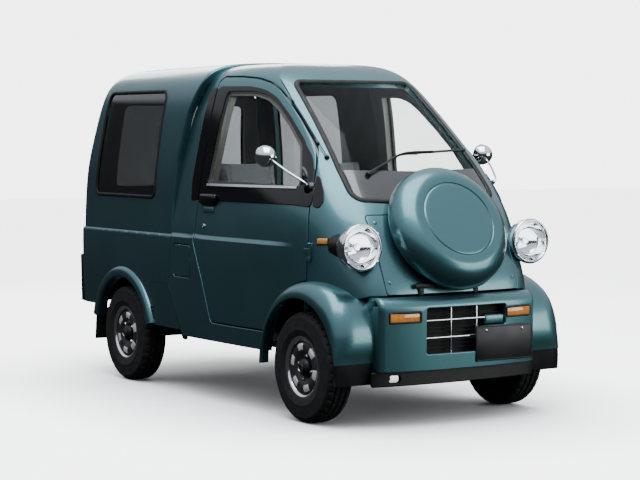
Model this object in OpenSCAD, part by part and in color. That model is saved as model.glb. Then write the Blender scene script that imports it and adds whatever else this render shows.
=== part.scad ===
// Small two-axle delivery van on a light truck chassis: tapered cab, closed
// load box, external spare wheel cover on the nose.
// Millimetres. Z is up and the front faces -Y, so the driver's side is -X.
// The origin is the middle of the footprint box, at floor level.

/* [Overall] */
// Width over the fenders
width = 1295; // [1080:5:1560]
// Length from the spare wheel cover to the rear number plate
length = 2941; // [2700:1:3450]
// Height of the load box's roof
height = 1715; // [1500:5:2060]
// Distance between the axles
wheelbase = 1840; // [1700:5:2000]
// From the front end to the front axle
front_overhang = 501; // [450:1:570]

/* [Wheels] */
// Distance between the middles of the two wheels of an axle
track = 1106; // [1000:2:1140]
// Outer diameter of a tyre
tyre_d = 516; // [420:2:560]
// Width of a tyre
tyre_w = 144; // [120:2:150]
// Diameter of the rim where the tyre seats
rim_d = 254; // [200:2:290]
// Width of the rim between its flanges
rim_w = 108; // [90:2:116]
// Diameter of the wheel spindle
spindle_d = 36; // [28:1:44]
// Radial clearance of a wheel on its spindle
bearing_gap = 0.05; // [0.02:0.01:0.1]
// Number of windows in a rim's disc
rim_windows = 8; // [5:1:12]
// Distance from the kingpin to the middle of the car
kingpin_x = 500; // [488:1:506]

/* [Body] */
// Thickness of the cab wall and of the load box's wall
wall = 45; // [30:1:56]
// Thickness of a door
door_t = 62; // [40:1:75]
// Thickness of the tailgate
tailgate_t = 48; // [35:1:60]
// Gap round a door, the tailgate and the fuel lid
door_gap = 6; // [5:0.5:8]
// Joint between two fixed body panels
seam = 0.6; // [0.3:0.1:3]
// Thickness of window glass
glass_t = 5; // [4:0.5:8]
// Gap between glass and the frame that holds it
glass_gap = 0.3; // [0.2:0.1:1]
// How far the load box stands proud of the cab at its upper half
box_step = 24; // [10:1:35]
// How far the bed's sides stand proud of the box at the belt line
bed_step = 8; // [0:1:16]
// How far the box's rear face lies in front of the bed's
box_back = 12; // [0:1:25]
// Gap between a front tyre and its wheel arch
arch_gap = 64; // [50:1:75]
// Gap between a rear tyre and its wheel arch
rear_arch_gap = 50; // [40:1:60]
// Thickness of a floor panel
floor_t = 25; // [10:1:40]
// Height of the cab floor
cab_floor_z = 345; // [330:1:380]
// Height of the load floor
load_floor_z = 585; // [575:1:640]

/* [Details] */
// Outer radius of the spare wheel cover
cover_r = 309; // [260:1:330]
// Depth of the spare wheel cover in front of its widest line
cover_depth = 119; // [90:1:140]
// Outer radius of a headlight ring
headlight_r = 109; // [85:1:132]
// Length of a number plate
plate_w = 330; // [280:5:340]
// Height of a number plate
plate_h = 165; // [120:5:180]
// Radius of the steering wheel
steering_r = 180; // [150:5:200]

/* [Hidden] */
$fn = 48;
paint = "#3f6f80";
black = "#1b1c1e";
chrome = "#c9ced2";
tint = "#40505a";

// The body stations below are given for these overall sizes, with y counted
// from the middle of the wheelbase. bx, by and bz move them to the real sizes.
base_width = 1295;
base_height = 1715;
base_wheelbase = 1840;
base_front = 501;
base_rear = 600;
sill_z = 300;
rear_overhang = length - front_overhang - wheelbase;
front_axle = front_overhang - length/2;
rear_axle = front_axle + wheelbase;
mid_y = (front_axle + rear_axle)/2;
axle_z = tyre_d/2;
arch_r = axle_z + arch_gap;
rear_arch_r = axle_z + rear_arch_gap;
half = base_wheelbase/2;
function bx(x) = x*width/base_width;
function by(y) =
    y < -half ? front_axle + (y + half)*front_overhang/base_front
    : y > half ? rear_axle + (y - half)*rear_overhang/base_rear
    : mid_y + y*wheelbase/base_wheelbase;
function bz(z) = z < sill_z ? z
    : sill_z + (z - sill_z)*(height - sill_z)/(base_height - sill_z);
function byz(p) = [by(p[0]), bz(p[1])];
function bxz(p) = [bx(p[0]), bz(p[1])];

// ---- Surfaces: a net of control points, smoothed as a cubic B-spline ----
function weights(t) = [
    pow(1 - t, 3)/6,
    (3*pow(t, 3) - 6*t*t + 4)/6,
    (-3*pow(t, 3) + 3*t*t + 3*t + 1)/6,
    pow(t, 3)/6
];
// Adds a point before and after a list, so that the curve reaches its ends.
function extended(p) = concat([2*p[0] - p[1]], p, [2*p[len(p) - 1] - p[len(p) - 2]]);
function spline_at(q, k, w) = q[k]*w[0] + q[k + 1]*w[1] + q[k + 2]*w[2] + q[k + 3]*w[3];
function spline(p, steps) =
    let(q = extended(p), n = len(p) - 1)
    [for (k = [0:n - 1], s = [0:steps - 1]) spline_at(q, k, weights(s/steps)),
     spline_at(q, n - 1, weights(1))];
function mirrored(p) = [for (i = [len(p) - 1:-1:1]) [-p[i][0], p[i][1], p[i][2]]];
// A solid through a stack of closed loops with the same number of points.
module loft(loops) {
    n = len(loops[0]);
    rows = len(loops);
    points = [for (loop = loops, p = loop) p];
    faces = concat(
        [[for (j = [0:n - 1]) j]],
        [for (i = [0:rows - 2], j = [0:n - 1])
            let(a = i*n + j, b = i*n + (j + 1)%n)
            each [[b, a, a + n], [b, a + n, b + n]]],
        [[for (j = [n - 1:-1:0]) (rows - 1)*n + j]]);
    polyhedron(points, faces, convexity = 8);
}
// Sends everything inside to the mesh engine as one solid.
module meshed() { resize([0, 0, 0]) children(); }

// Rows of the cab surface from the sill up to the roof: height, nose y, corner x,
// corner setback, door front x, door front y, side x.
CAB = [
    [300, -1296, 462, 62, 582, -940, 616],
    [450, -1308, 462, 62, 586, -940, 622],
    [600, -1306, 462, 66, 588, -938, 622],
    [720, -1262, 459, 66, 588, -932, 622],
    [840, -1207, 455, 66, 584, -925, 620],
    [950, -1154, 450, 64, 575, -910, 604],
    [1042, -1073, 446, 62, 550, -892, 592],
    [1173, -950, 438, 60, 500, -835, 573],
    [1282, -832, 424, 56, 457, -742, 556],
    [1417, -674, 408, 52, 438, -590, 535],
    [1540, -518, 390, 48, 418, -440, 508],
    [1610, -424, 376, 46, 400, -345, 484],
    [1658, -350, 345, 44, 366, -260, 446],
    [1688, -280, 290, 40, 318, -180, 380],
    [1700, -190, 200, 30, 235, -80, 270],
    [1704, -60, 90, 20, 105, 20, 120],
    [1705, 0, 8, 10, 9, 40, 10]
];
cab_rear = 420;
function cab_row(r, t) =
    let(z = r[0] - (r[0] > 1500 ? t*min(1, (r[0] - 1500)/160) : 0),
        nose = r[1] + 1.3*t,
        inset = min(t, r[2] - 4),
        corner = nose + r[3])
    [for (p = [
        [0, nose], [(r[2] - inset)*0.5, nose + r[3]*0.08],
        [(r[2] - inset)*0.86, nose + r[3]*0.38],
        [r[2] - inset, corner],
        [r[2] - inset + (r[4] - r[2])*0.5, corner + (r[5] - r[1] - r[3])*0.34],
        [r[4] - inset*1.0, r[5] + 0.4*t],
        [(r[4] + r[6]*2)/3 - inset, (r[5]*2 + 60)/3 + 40],
        [r[6] - inset, 60],
        [r[6] - inset, cab_rear]])
        [bx(max(p[0], 0)), by(p[1]), bz(z)]];
function cab_loop(r, t, steps) = let(side = spline(cab_row(r, t), steps))
    concat(mirrored(side), side);
function columns(rows) = [for (j = [0:len(rows[0]) - 1]) [for (row = rows) row[j]]];
function smoothed(rows, steps) =
    let(cols = [for (c = columns(rows)) spline(c, steps)]) columns(cols);
module cab_solid(t, across = 3, up = 2) {
    loft(smoothed([for (r = CAB) cab_loop(r, t, across)], up));
}

// Rows of the load box and bed surface: height, side x without the step, rear y.
BOX = [
    [330, 606, 1448],
    [520, 620, 1452],
    [700, 622, 1456],
    [824, 620, 1458],
    [900, 612, 1460],
    [1000, 600, 1458],
    [1150, 584, 1448],
    [1300, 565, 1434],
    [1450, 545, 1414],
    [1560, 522, 1386],
    [1630, 495, 1345],
    [1680, 440, 1280],
    [1704, 340, 1190],
    [1712, 200, 1080],
    [1715, 60, 980],
    [1715, 10, 900]
];
box_open_y = 100;
function box_row(r, step, t) =
    let(grow = step > 0 ? step*max(0, min(1, (r[0] - 824)/326)) : bed_step,
        x = max(r[1] + grow - t, 6), y = r[2] - (step > 0 ? box_back : 0) - t,
        z = r[0] - (r[0] > 1500 ? t*min(1, (r[0] - 1500)/160) : 0))
    [for (p = [[0, y], [x*0.5, y - 4], [x*0.84, y - 16], [x*0.975, y - 42],
        [x*0.996, y - 120], [x, y - 300], [x, 600], [x, box_open_y]])
        [bx(p[0]), by(p[1]), bz(z)]];
function box_loop(r, step, t, steps) =
    let(side = spline(box_row(r, step, t), steps), left = mirrored(side))
    [for (i = [len(side) - 1:-1:0]) side[i], for (i = [len(left) - 1:-1:0]) left[i]];
module box_solid(step, t, across = 2, up = 2) {
    loft(smoothed([for (r = BOX) box_loop(r, step, t, across)], up));
}

// ---- Outlines in side view (y, z) and front view (x, z), at body stations ----
// Rounds the corners of an outline, inward and outward.
module rounded(r) { offset(r, $fn = 32) offset(-r, $fn = 32) children(); }
// Extrudes a side view outline across the car between two x values.
module across(x0, x1) {
    translate([x0, 0, 0]) rotate([90, 0, 90]) linear_extrude(x1 - x0, convexity = 6) children();
}
// Extrudes a front view outline along the car between two y values.
module along(y0, y1) {
    translate([0, y1, 0]) rotate([90, 0, 0]) linear_extrude(y1 - y0, convexity = 6) children();
}
module door_outline() {
    rounded(24) polygon([for (p = [
        [-905, 650], [-905, 840], [-886, 987], [-852, 1138], [-826, 1197], [-779, 1268],
        [-712, 1328], [-594, 1426], [-492, 1502], [-404, 1556], [-322, 1592],
        [-226, 1615], [-96, 1627], [60, 1631], [88, 1606], [102, 1150], [112, 840],
        [108, 800], [14, 610], [-72, 402], [-905, 402]]) byz(p)]);
}
module door_glass_outline() {
    rounded(30) polygon([for (p = [
        [34, 1090], [-24, 1556], [-250, 1551], [-352, 1528], [-440, 1484],
        [-571, 1390], [-694, 1288], [-776, 1136], [-782, 1078]]) byz(p)]);
}
module side_window_outline() {
    rounded(38) polygon([for (p = [
        [1285, 1012], [1225, 1575], [535, 1570], [560, 1010]]) byz(p)]);
}
module windscreen_outline() {
    rounded(34) polygon([for (s = [1, -1], p = s > 0
        ? [[0, 1600], [340, 1600], [398, 1180], [404, 1036], [0, 1012]]
        : [[-404, 1036], [-398, 1180], [-340, 1600]]) bxz(p)]);
}
module nose_outline() {
    rounded(8) polygon([for (s = [-1, 1], z = s > 0 ? [964, 607] : [607, 964])
        bxz([s*(z > 800 ? 387 : 375), z])]);
}
module tailgate_outline() {
    rounded(40) polygon([for (p = [[-520, 690], [520, 690], [500, 1300], [455, 1588],
        [-455, 1588], [-500, 1300]]) bxz(p)]);
}
module tailgate_glass_outline() {
    rounded(40) polygon([for (p = [[-430, 1040], [430, 1040], [392, 1520], [-392, 1520]]) bxz(p)]);
}
// Where the cab ends and the load box and bed begin.
module cab_side_of_seam() {
    polygon([for (p = [[-1600, 200], [215, 200], [251, 336], [376, 562], [355, 824],
        [350, 1000], [330, 1200], [265, 1450], [180, 1620], [120, 1800], [-1600, 1800]]) byz(p)]);
}
module box_side_of_seam() {
    polygon([for (p = [[2000, 200], [215 + seam, 200], [251 + seam, 336], [376 + seam, 562],
        [355 + seam, 824], [350 + seam, 1000], [330 + seam, 1200], [265 + seam, 1450],
        [180 + seam, 1620], [120 + seam, 1800], [2000, 1800]]) byz(p)]);
}
module both() { children(); mirror([1, 0, 0]) children(); }
// Round the wheel's axis: angle from the rear horizontal, width of the fender.
FENDER = [[14, 8], [28, 16], [44, 38], [66, 58], [90, 74], [112, 96], [132, 108],
    [150, 76], [163, 34], [176, 14]];
function fender_ring(p, grow) = let(a = p[0], r = arch_r + p[1] + grow)
    [front_axle + r*cos(a), axle_z + r*sin(a)];
module fender_outline(grow = 0) {
    polygon(concat([for (p = spline(FENDER, 3)) fender_ring(p, grow)],
        [[front_axle - arch_r - 14 - grow, 200], [front_axle + arch_r + grow, 200]]));
}
fender_in = bx(446) + seam;
foot_z = axle_z + 72;
fender_skin = 40;

module cab_shell() color(paint) meshed() {
    difference() {
    intersection() {
        cab_solid(0);
        across(-width, width) cab_side_of_seam();
        translate([-width, -length, sill_z]) cube([2*width, 2*length, height]);
    }
    cab_solid(wall, 2, 1);
    both() across(bx(door_inner_x) - door_gap, width) offset(door_gap) door_outline();
    along(-length, by(-200)) windscreen_outline();
    along(-length, by(-900)) offset(seam) nose_outline();
    both() across(bx(330), width) fender_outline(seam);
    translate([-bx(460), -length, 0]) cube([2*bx(460), length + by(-1190), bz(590)]);
    translate([-bx(560), -length, 0]) cube([2*bx(560), 2*length, sill_z + 1]);
    fuel_recess();
    translate([-bx(fuel_hinge_x), by(fuel_hinge_y), bz(690) - 10.3]) cylinder(r = 5, h = 20.6);
    both() {
        headlight_socket();
        side_marker(0.3);
        door_hinge_pocket();
        translate([0, by(beam_y), bz(beam_z)]) rotate([0, 90, 0]) cylinder(r = 18.3, h = bx(530) + 0.3);
    }
    }
    both() door_hinge_body();
    fuel_hinge_body();
}
// The door's hinge axis is vertical and stands a little outside the body.
hinge_x = 578;
hinge_y = -929;
hinge_z0 = 750;
hinge_z1 = 836;
module at_hinge(z0, z1, grow = 0) {
    translate([bx(hinge_x), by(hinge_y), bz(z0) - grow]) linear_extrude(bz(z1) - bz(z0) + 2*grow) children();
}
module door_hinge_body() for (z = [[hinge_z0, hinge_z0 + 23], [hinge_z1 - 23, hinge_z1]])
    at_hinge(z[0], z[1]) {
        circle(r = 11);
        translate([-34, -8]) square([34, 16]);
    }
module door_hinge_pocket() at_hinge(hinge_z0 + 23, hinge_z1 - 23) {
    circle(r = 17);
    translate([-26, -6]) square([48, by(-880) - by(hinge_y)]);
}
module door_hinge_leaf() at_hinge(hinge_z0 + 23.3, hinge_z1 - 23.3) {
    circle(r = 11);
    translate([-19, 0]) square([12, by(-878) - by(hinge_y)]);
    translate([-19, -5]) square([19, 10]);
}
fuel_hinge_x = 625;
fuel_hinge_y = 139;
module fuel_hinge(z0, z1, y1) translate([-bx(fuel_hinge_x), by(fuel_hinge_y), bz(690) + z0]) linear_extrude(z1 - z0) {
    circle(r = 4);
    translate([0, y1 > 0 ? 1.6 : -4]) square([y1 > 0 ? 9 : 16, y1 > 0 ? y1 - 1.6 : 4]);
}
module fuel_hinge_body() { fuel_hinge(-30, -10.3, -4); fuel_hinge(10.3, 30, -4); }
beam_y = -960;
beam_z = 850;
module nose_panel() color(paint) meshed() intersection() {
    difference() { cab_solid(0); cab_solid(wall); }
    along(-length, by(-900)) nose_outline();
    on_cover_axis() mirror([0, 0, 1]) translate([0, 0, cover_back + 0.3]) cylinder(r = 900, h = 900);
    difference() {
        translate([-width, -length, 0]) cube([2*width, 2*length, height]);
        both() headlight_socket();
    }
}
// The cover's section: radius, height over its widest line.
cover_back = 26;
COVER = [[0, -cover_back], [cover_r - 26, -cover_back], [cover_r - 12, -16], [cover_r - 2, -6],
    [cover_r, 4], [cover_r - 4, 40], [cover_r - 12, 60], [cover_r - 24, 78], [cover_r - 40, 94],
    [cover_r - 58, 106], [cover_r - 78, 115], [cover_r - 96, cover_depth], [cover_r - 121, cover_depth],
    [cover_r - 126, cover_depth - 6], [0, cover_depth - 3]];
cover_tilt = 29;
cover_z = 892;
// How far the cover reaches in front of the middle of its widest line.
cover_reach = max([for (p = COVER) p[1]*cos(cover_tilt) + p[0]*sin(cover_tilt)]);
module on_cover_axis() {
    translate([0, cover_reach - length/2, bz(cover_z)]) rotate([90 - cover_tilt, 0, 0]) children();
}
module spare_wheel_cover() color(paint) on_cover_axis() difference() {
    rotate_extrude($fn = 96) polygon(COVER);
    translate([0, 0, -40]) cylinder(r = 90, h = 60);
}
toe_y = -1262;
module signal_block(grow) {
    translate([bx(244) - grow, by(-1344) - (grow > 0 ? 200 : 0), bz(484) - grow])
        cube([bx(402) - bx(244) + 2*grow, 24 + (grow > 0 ? 200 : 0) + grow, bz(532) - bz(484) + 2*grow]);
}
module side_marker(grow) {
    translate([bx(549), by(-997), bz(845)]) rotate([0, 0, 69.3])
        translate([-30 - grow, -9 - grow, -15 - grow]) cube([60 + 2*grow, 18 + 2*grow, 30 + 2*grow]);
}
module front_bumper() color(paint) meshed() difference() {
    translate([0, 0, bz(262)]) rounded_block(bx(446), by(-1364), by(-1258), bz(566) - bz(262), 26);
    translate([0, 0, bz(262) - 1]) rounded_block(bx(446) - 40, by(-1364) + 38, by(-1200), bz(566) - bz(262) - 40, 4);
    along(-length, by(-1200)) rounded(10) polygon([for (p = [[-213, 336], [100, 336], [100, 452], [240, 452],
        [240, 549], [-213, 549]]) bxz(p)]);
    both() signal_block(0.3);
    translate([-bx(420), by(toe_y) - 0.3, 0]) cube([2*bx(420), 400, height]);
    translate([bx(221) - plate_w/2 - 0.3, -length, bz(368) - plate_h/2 - 0.3]) cube([plate_w + 0.6, length + by(-1364) + 4, plate_h + 0.6]);
}
// A block with a bowed front face and rounded front edges.
module rounded_block(x, y0, y1, h, r) {
    hull() for (s = [-1, 1]) {
        translate([s*(x - r), y0 + 48 + r, 0]) cylinder(r = r, h = h - r);
        translate([s*(x - r), y0 + 48 + 2*r, 0]) cylinder(r = r, h = h);
        translate([s*x*0.55, y0 + 14 + r, 0]) cylinder(r = r, h = h - r);
        translate([s*x*0.55, y0 + 14 + 2*r, 0]) cylinder(r = r, h = h);
        translate([s*x*0.2, y0 + r, 0]) cylinder(r = r, h = h - r);
        translate([s*x*0.2, y0 + 2*r, 0]) cylinder(r = r, h = h);
        translate([s > 0 ? x - 1 : -x, y1 - 1, 0]) cube([1, 1, h]);
    }
}
module front_grille() color(chrome) {
    for (z = [488, 408])
        translate([bx(-213) + 0.3, by(-1340), bz(z) - 3]) cube([bx(z > 450 ? 240 : 100) - bx(-213) - 0.6, 12, 6]);
    for (x = [-63, 83])
        translate([bx(x) - 3, by(-1328) + 0.3, bz(336) + 0.3]) cube([6, 10, bz(549) - bz(336) - 0.6]);
}
module front_valance() color(black) meshed() difference() {
    union() {
        translate([0, 0, 190]) rounded_block(bx(470), by(-1318), by(-1196), bz(262) - seam - 190, 12);
        both() fender_foot();
    }
    translate([0, 0, 160]) rounded_block(bx(470) - 30, by(-1318) + 30, by(-1180), bz(262) - seam - 160 - 20, 6);
    along(-length, 0) translate([bx(-350), 226]) rounded(15) square([58, 34], center = true);
}
module front_fenders() color(paint) meshed() both() difference() {
    fender_form(fender_in, width/2, 0, 60);
    fender_form(fender_in - 1, width/2 - fender_skin, -fender_skin, 30);
    across(fender_in - 2, width) translate([front_axle, axle_z]) circle(r = arch_r, $fn = 72);
    translate([0, -length, 0]) cube([width, 2*length, 248]);
    translate([0, front_axle - length, 0]) cube([width, length, foot_z]);
}
// The black foot below the front end of each fender.
module fender_foot() difference() {
    fender_form(fender_in, width/2 - 2, -2, 30);
    across(fender_in - 2, width) translate([front_axle, axle_z]) circle(r = arch_r, $fn = 72);
    translate([0, front_axle, 0]) cube([width, length, height]);
    translate([0, -length, foot_z - seam]) cube([width, 2*length, height]);
}
// The fender's outline between two x values, with its outer edge rounded.
module fender_form(x0, x1, grow, r) {
    loft([for (slice = concat([[x0, 0]], [for (a = [0:22.5:90]) [x1 - r*(1 - sin(a)), r*(1 - cos(a))]]))
        [for (p = concat([for (q = spline(FENDER, 3)) fender_ring(q, grow - slice[1])],
            [[front_axle - arch_r - 14 - grow + slice[1], 200], [front_axle + arch_r + grow - slice[1], 200]]))
            [slice[0], p[0], p[1]]]]);
}
lamp_x = 485;
lamp_y = -1224;
lamp_z = 825;
module at_lamp() { translate([bx(lamp_x), by(lamp_y), bz(lamp_z)]) rotate([90, 0, 0]) children(); }
module headlight_socket() at_lamp() rotate_extrude($fn = 64) polygon([
    [0, -191], [55.3, -191], [56.3, -96.4], [headlight_r - 38.6, -92.4], [headlight_r - 16.5, -66.2],
    [headlight_r - 5.6, -34], [headlight_r - 3.6, -8.3], [headlight_r + 0.4, -4.3],
    [headlight_r + 0.4, 60], [0, 60]]);
module headlight_housings() color(chrome) both() at_lamp() difference() {
    rotate_extrude($fn = 64) polygon([
        [0, -190], [55, -190], [56, -96], [headlight_r - 39, -92], [headlight_r - 17, -66],
        [headlight_r - 6, -34], [headlight_r - 4, -8],
        [headlight_r, -4], [headlight_r, 8], [headlight_r - 6, 14], [headlight_r - 14, 12],
        [headlight_r - 16, -4], [headlight_r - 30, -40], [headlight_r - 60, -64], [0, -70]]);
}
module headlight_lenses() color(tint) both() at_lamp() rotate_extrude($fn = 64) polygon([
    [0, 14], [50, 11], [headlight_r - 16.2, 3], [headlight_r - 16.2, -3], [50, 6], [0, 9]]);
module signal_lamps() color("#d98a2b") both() {
    signal_block(0);
    side_marker(0);
}
module windscreen() color(tint) meshed() difference() {
    intersection() {
        difference() { cab_solid(12); cab_solid(12 + glass_t); }
        along(-length, by(-200)) offset(-glass_gap) windscreen_outline();
    }
    bar(wiper_point(0, -40), wiper_point(0, 40), 13.3);
}
// A straight round bar between two points.
module bar(a, b, r) {
    d = b - a;
    translate(a) rotate([0, acos(d[2]/norm(d)), atan2(d[1], d[0])]) cylinder(r = r, h = norm(d));
}
WIPER = [[-271, -961, 1147], [-21, -881, 1236], [186, -862, 1247], [394, -823, 1256]];
function wiper_point(i, out) = let(p = WIPER[i])
    [bx(p[0]), by(p[1]) - 0.69*out, bz(p[2]) + 0.72*out];
module wiper() color(black) {
    bar(wiper_point(0, -14), wiper_point(0, 20), 13);
    bar(wiper_point(0, 14), wiper_point(1, 16), 4);
    bar(wiper_point(1, 16), wiper_point(2, 14), 4);
    bar(wiper_point(2, 14), wiper_point(3, 20), 4);
    translate(wiper_point(1, 16)) sphere(r = 5);
    translate(wiper_point(2, 14)) sphere(r = 5);
}
// No part of a door lies closer to the middle than this, at any height.
door_inner_x = 372;
module door_skin(t) { difference() { cab_solid(0); cab_solid(t); } }
module door_panel() difference() {
    intersection() {
        door_skin(door_t);
        across(bx(door_inner_x), width) door_outline();
    }
    across(0, width) door_glass_outline();
    across(0, width) fender_outline(door_gap + 2);
    bar(mirror_foot(-14.3), mirror_foot(40), 12.3);
}
module door_with_hinge() color(paint) meshed() {
    door_panel();
    door_hinge_leaf();
}
module door_left() door_with_hinge();
module door_right() mirror([1, 0, 0]) door_with_hinge();
module door_glass() color(tint) meshed() intersection() {
    difference() { cab_solid(door_t/2 - glass_t/2); cab_solid(door_t/2 + glass_t/2); }
    across(0, width) offset(-glass_gap) door_glass_outline();
}
module door_glass_left() door_glass();
module door_glass_right() mirror([1, 0, 0]) door_glass();
// A round mirror on a thin stalk from a clamp at the front of the door window.
MIRROR = [640, -650, 1235];
CLAMP = [518, -872, 1086];
function mirror_foot(out) = [bx(CLAMP[0]) + 0.864*out, by(CLAMP[1]) - 0.288*out + 26, bz(CLAMP[2]) + 0.411*out];
module mirror_unit() color(chrome) {
    head = [bx(MIRROR[0]), by(MIRROR[1]), bz(MIRROR[2])];
    translate(head) sphere(r = 56);
    bar(mirror_foot(-14), mirror_foot(22), 12);
    translate(mirror_foot(26) - [0, 20, 0]) sphere(r = 19);
    translate(mirror_foot(20)) sphere(r = 12);
    bar(mirror_foot(20), head, 6);
}
module mirror_left() mirror_unit();
module mirror_right() mirror([1, 0, 0]) mirror_unit();
fuel_y0 = 146;
fuel_y1 = 316;
fuel_z0 = 612;
fuel_z1 = 774;
module fuel_outline() {
    rounded(10) polygon([for (p = [[fuel_y0, fuel_z0], [fuel_y1, fuel_z0], [fuel_y1, fuel_z1],
        [fuel_y0, fuel_z1]]) byz(p)]);
}
module fuel_recess() { across(-width, -bx(622) + wall - 8) offset(door_gap) fuel_outline(); }
module fuel_lid() color(paint) {
    across(-bx(620), -bx(620) + 9) fuel_outline();
    fuel_hinge(-10, 10, 14);
}
module bed_sides() color(paint) meshed() difference() {
    union() {
        intersection() {
            difference() { box_solid(0, 0); box_solid(0, wall, 1, 1); }
            across(-width, width) box_side_of_seam();
            translate([-width, -length, bz(330)]) cube([2*width, 2*length, bz(824) - seam - bz(330)]);
        }
        both() rear_flare();
    }
    both() across(bx(420), width) translate([rear_axle, axle_z]) circle(r = rear_arch_r, $fn = 64);
    translate([-width, by(1230), 0]) cube([2*width, length, bz(392)]);
    tailgate_hole();
    translate([-width, by(1425), bz(380)]) cube([2*width, length, bz(668) - bz(380)]);
    both() tail_lamp(0.3);
}
module rear_flare() {
    difference() {
        across(bx(590), width/2) translate([rear_axle, axle_z]) circle(r = rear_arch_r + 60, $fn = 64);
        translate([0, rear_axle - 400, -400]) cube([width, 800, bz(336) + 400]);
    }
}
module tailgate_hole() { along(by(1000), length) offset(door_gap) tailgate_outline(); }
module box_shell() color(paint) meshed() {
    box_panels();
    for (s = [-1, 1]) tail_hinge(s, -30, -10.3, false) ;
    for (s = [-1, 1]) tail_hinge(s, 10.3, 30, false);
}
// The tailgate's hinge axis lies across the car, behind the edge of the roof.
tail_hinge_y = 1376;
tail_hinge_z = 1604;
module tail_hinge(side, x0, x1, moving) translate([side*bx(300) + x0, by(tail_hinge_y), bz(tail_hinge_z)])
    rotate([90, 0, 90]) linear_extrude(x1 - x0) {
        circle(r = 9);
        if (moving) polygon([[-9, 0], [9, 0], [4, -30], [-40, -40], [-40, -22], [-9, -22]]);
        else polygon([[0, 9], [0, -5], [-50, -4], [-70, 12], [-60, 22], [-44, 16]]);
    }
module box_panels() difference() {
    intersection() {
        difference() { box_solid(box_step, 0); box_solid(box_step, wall, 1, 1); }
        across(-width, width) box_side_of_seam();
        translate([-width, -length, bz(824)]) cube([2*width, 2*length, height]);
    }
    across(-width, width) side_window_outline();
    tailgate_hole();
}
module side_windows() color(tint) meshed() intersection() {
    difference() { box_solid(box_step, 8); box_solid(box_step, 8 + glass_t); }
    across(-width, width) offset(-glass_gap) side_window_outline();
}
module tailgate() color(paint) meshed() {
    difference() {
        intersection() {
            difference() { box_solid(box_step, 0); box_solid(box_step, tailgate_t); }
            along(by(1000), length) tailgate_outline();
        }
        along(by(1000), length) tailgate_glass_outline();
    }
    for (s = [-1, 1]) tail_hinge(s, -10, 10, true);
}
module tailgate_glass() color(tint) meshed() intersection() {
    difference() { box_solid(box_step, 16); box_solid(box_step, 16 + glass_t); }
    along(by(1000), length) offset(-glass_gap) tailgate_glass_outline();
}
module rear_bumper() color(black) {
    translate([-bx(600), by(1425) + 0.3, bz(392)]) cube([2*bx(600), length/2 - 4.6 - by(1425), bz(660) - bz(392)]);
}
module tail_lamp(grow) {
    translate([bx(536) - grow, by(1404) - grow, bz(700) - grow])
        cube([bx(606) - bx(536) + 2*grow, 36 + (grow > 0 ? 100 : 0), bz(818) - bz(700) + 2*grow]);
}
module tail_lamps() color("#a02020") both() tail_lamp(0);
module number_plates() color(black) {
    translate([bx(221), by(-1368), bz(368)]) plate();
    translate([0, length/2 - 4, bz(525)]) plate();
}
module plate() difference() {
    translate([-plate_w/2, 0, -plate_h/2]) cube([plate_w, 4, plate_h]);
    for (x = [-105, 105]) translate([x, -1, plate_h/2 - 22]) rotate([-90, 0, 0]) cylinder(d = 7, h = 6);
}
// The outline of the space inside the walls at one height, a little smaller.
module inside_cab(z) { polygon([for (p = cab_loop([z, -1300, 462, 62, 582, -940, 616], wall + 0.6, 2)) [p[0], p[1]]]); }
module inside_bed(z) { polygon([for (p = box_loop([z, 619.5, 1453], 0, wall + 1.2, 1)) [p[0], p[1]]]); }
module y_band(y0, y1, x = 2000) { translate([-x, y0]) square([2*x, y1 - y0]); }
liner_x = 328;
step_x = bx(605) - wall;
module floor_pan() color("#2b3338") difference() {
    union() {
        translate([0, 0, bz(cab_floor_z) - floor_t]) linear_extrude(floor_t) difference() {
            union() {
                intersection() { inside_cab(345); y_band(by(-1180), by(240)); }
                y_band(by(239), by(325), step_x);
            }
            both() translate([fender_in - 0.5, -length]) square([width, length + by(-560)]);
            engine_hole(0);
        }
        translate([-bx(419.5), by(toe_y), bz(cab_floor_z) - floor_t]) cube([2*bx(419.5), by(-1180) - by(toe_y) + 1, floor_t]);
        translate([-bx(419.5), by(toe_y), bz(cab_floor_z) - floor_t]) cube([2*bx(419.5), 20, bz(589.6) - bz(cab_floor_z) + floor_t]);
        translate([0, 0, bz(load_floor_z) - floor_t]) linear_extrude(floor_t)
            intersection() {
                inside_bed(585);
                union() {
                    y_band(by(376), length);
                    y_band(by(325), by(377), bx(618) - wall);
                }
            }
        translate([-step_x, by(300), bz(cab_floor_z) - floor_t]) cube([2*step_x, floor_t, bz(load_floor_z) - bz(cab_floor_z) + floor_t]);
        translate([0, 0, bz(cab_floor_z)]) linear_extrude(seat_base_z - bz(cab_floor_z)) difference() {
            engine_hole(12);
            engine_hole(0);
        }
        translate([-bx(480), by(-330), seat_base_z - 12]) cube([2*bx(480), by(150) - by(-330), 12]);
        for (x = [-1, 1]) translate([x > 0 ? bx(468) : -bx(480), by(-330), bz(cab_floor_z) - 1])
            cube([12, by(150) - by(-330), seat_base_z - bz(cab_floor_z)]);
        both() intersection() {
            translate([liner_x, front_axle, axle_z]) rotate([0, 90, 0]) cylinder(r = arch_r + 8, h = fender_in - 0.5 - liner_x, $fn = 72);
            translate([0, front_axle - 400, bz(cab_floor_z) - 1]) cube([600, 800, 800]);
        }
    }
    both() translate([liner_x + 6, front_axle, axle_z]) rotate([0, 90, 0]) cylinder(r = arch_r, h = width, $fn = 72);
}
seat_base_z = 600;
module engine_hole(grow) { translate([-210 - grow, by(-300) - grow]) square([420 + 2*grow, by(130) - by(-300) + 2*grow]); }
rail_x = 235;
rail_w = 44;
rail_h = 70;
low_rail_z = bz(cab_floor_z) - floor_t - 0.3 - rail_h;
high_rail_z = bz(load_floor_z) - floor_t - 0.3 - rail_h;
eye_x = -350;
eye_y = -1228;
eye_z = 221;
eye_d = 20;
joint = 0.3;
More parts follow.
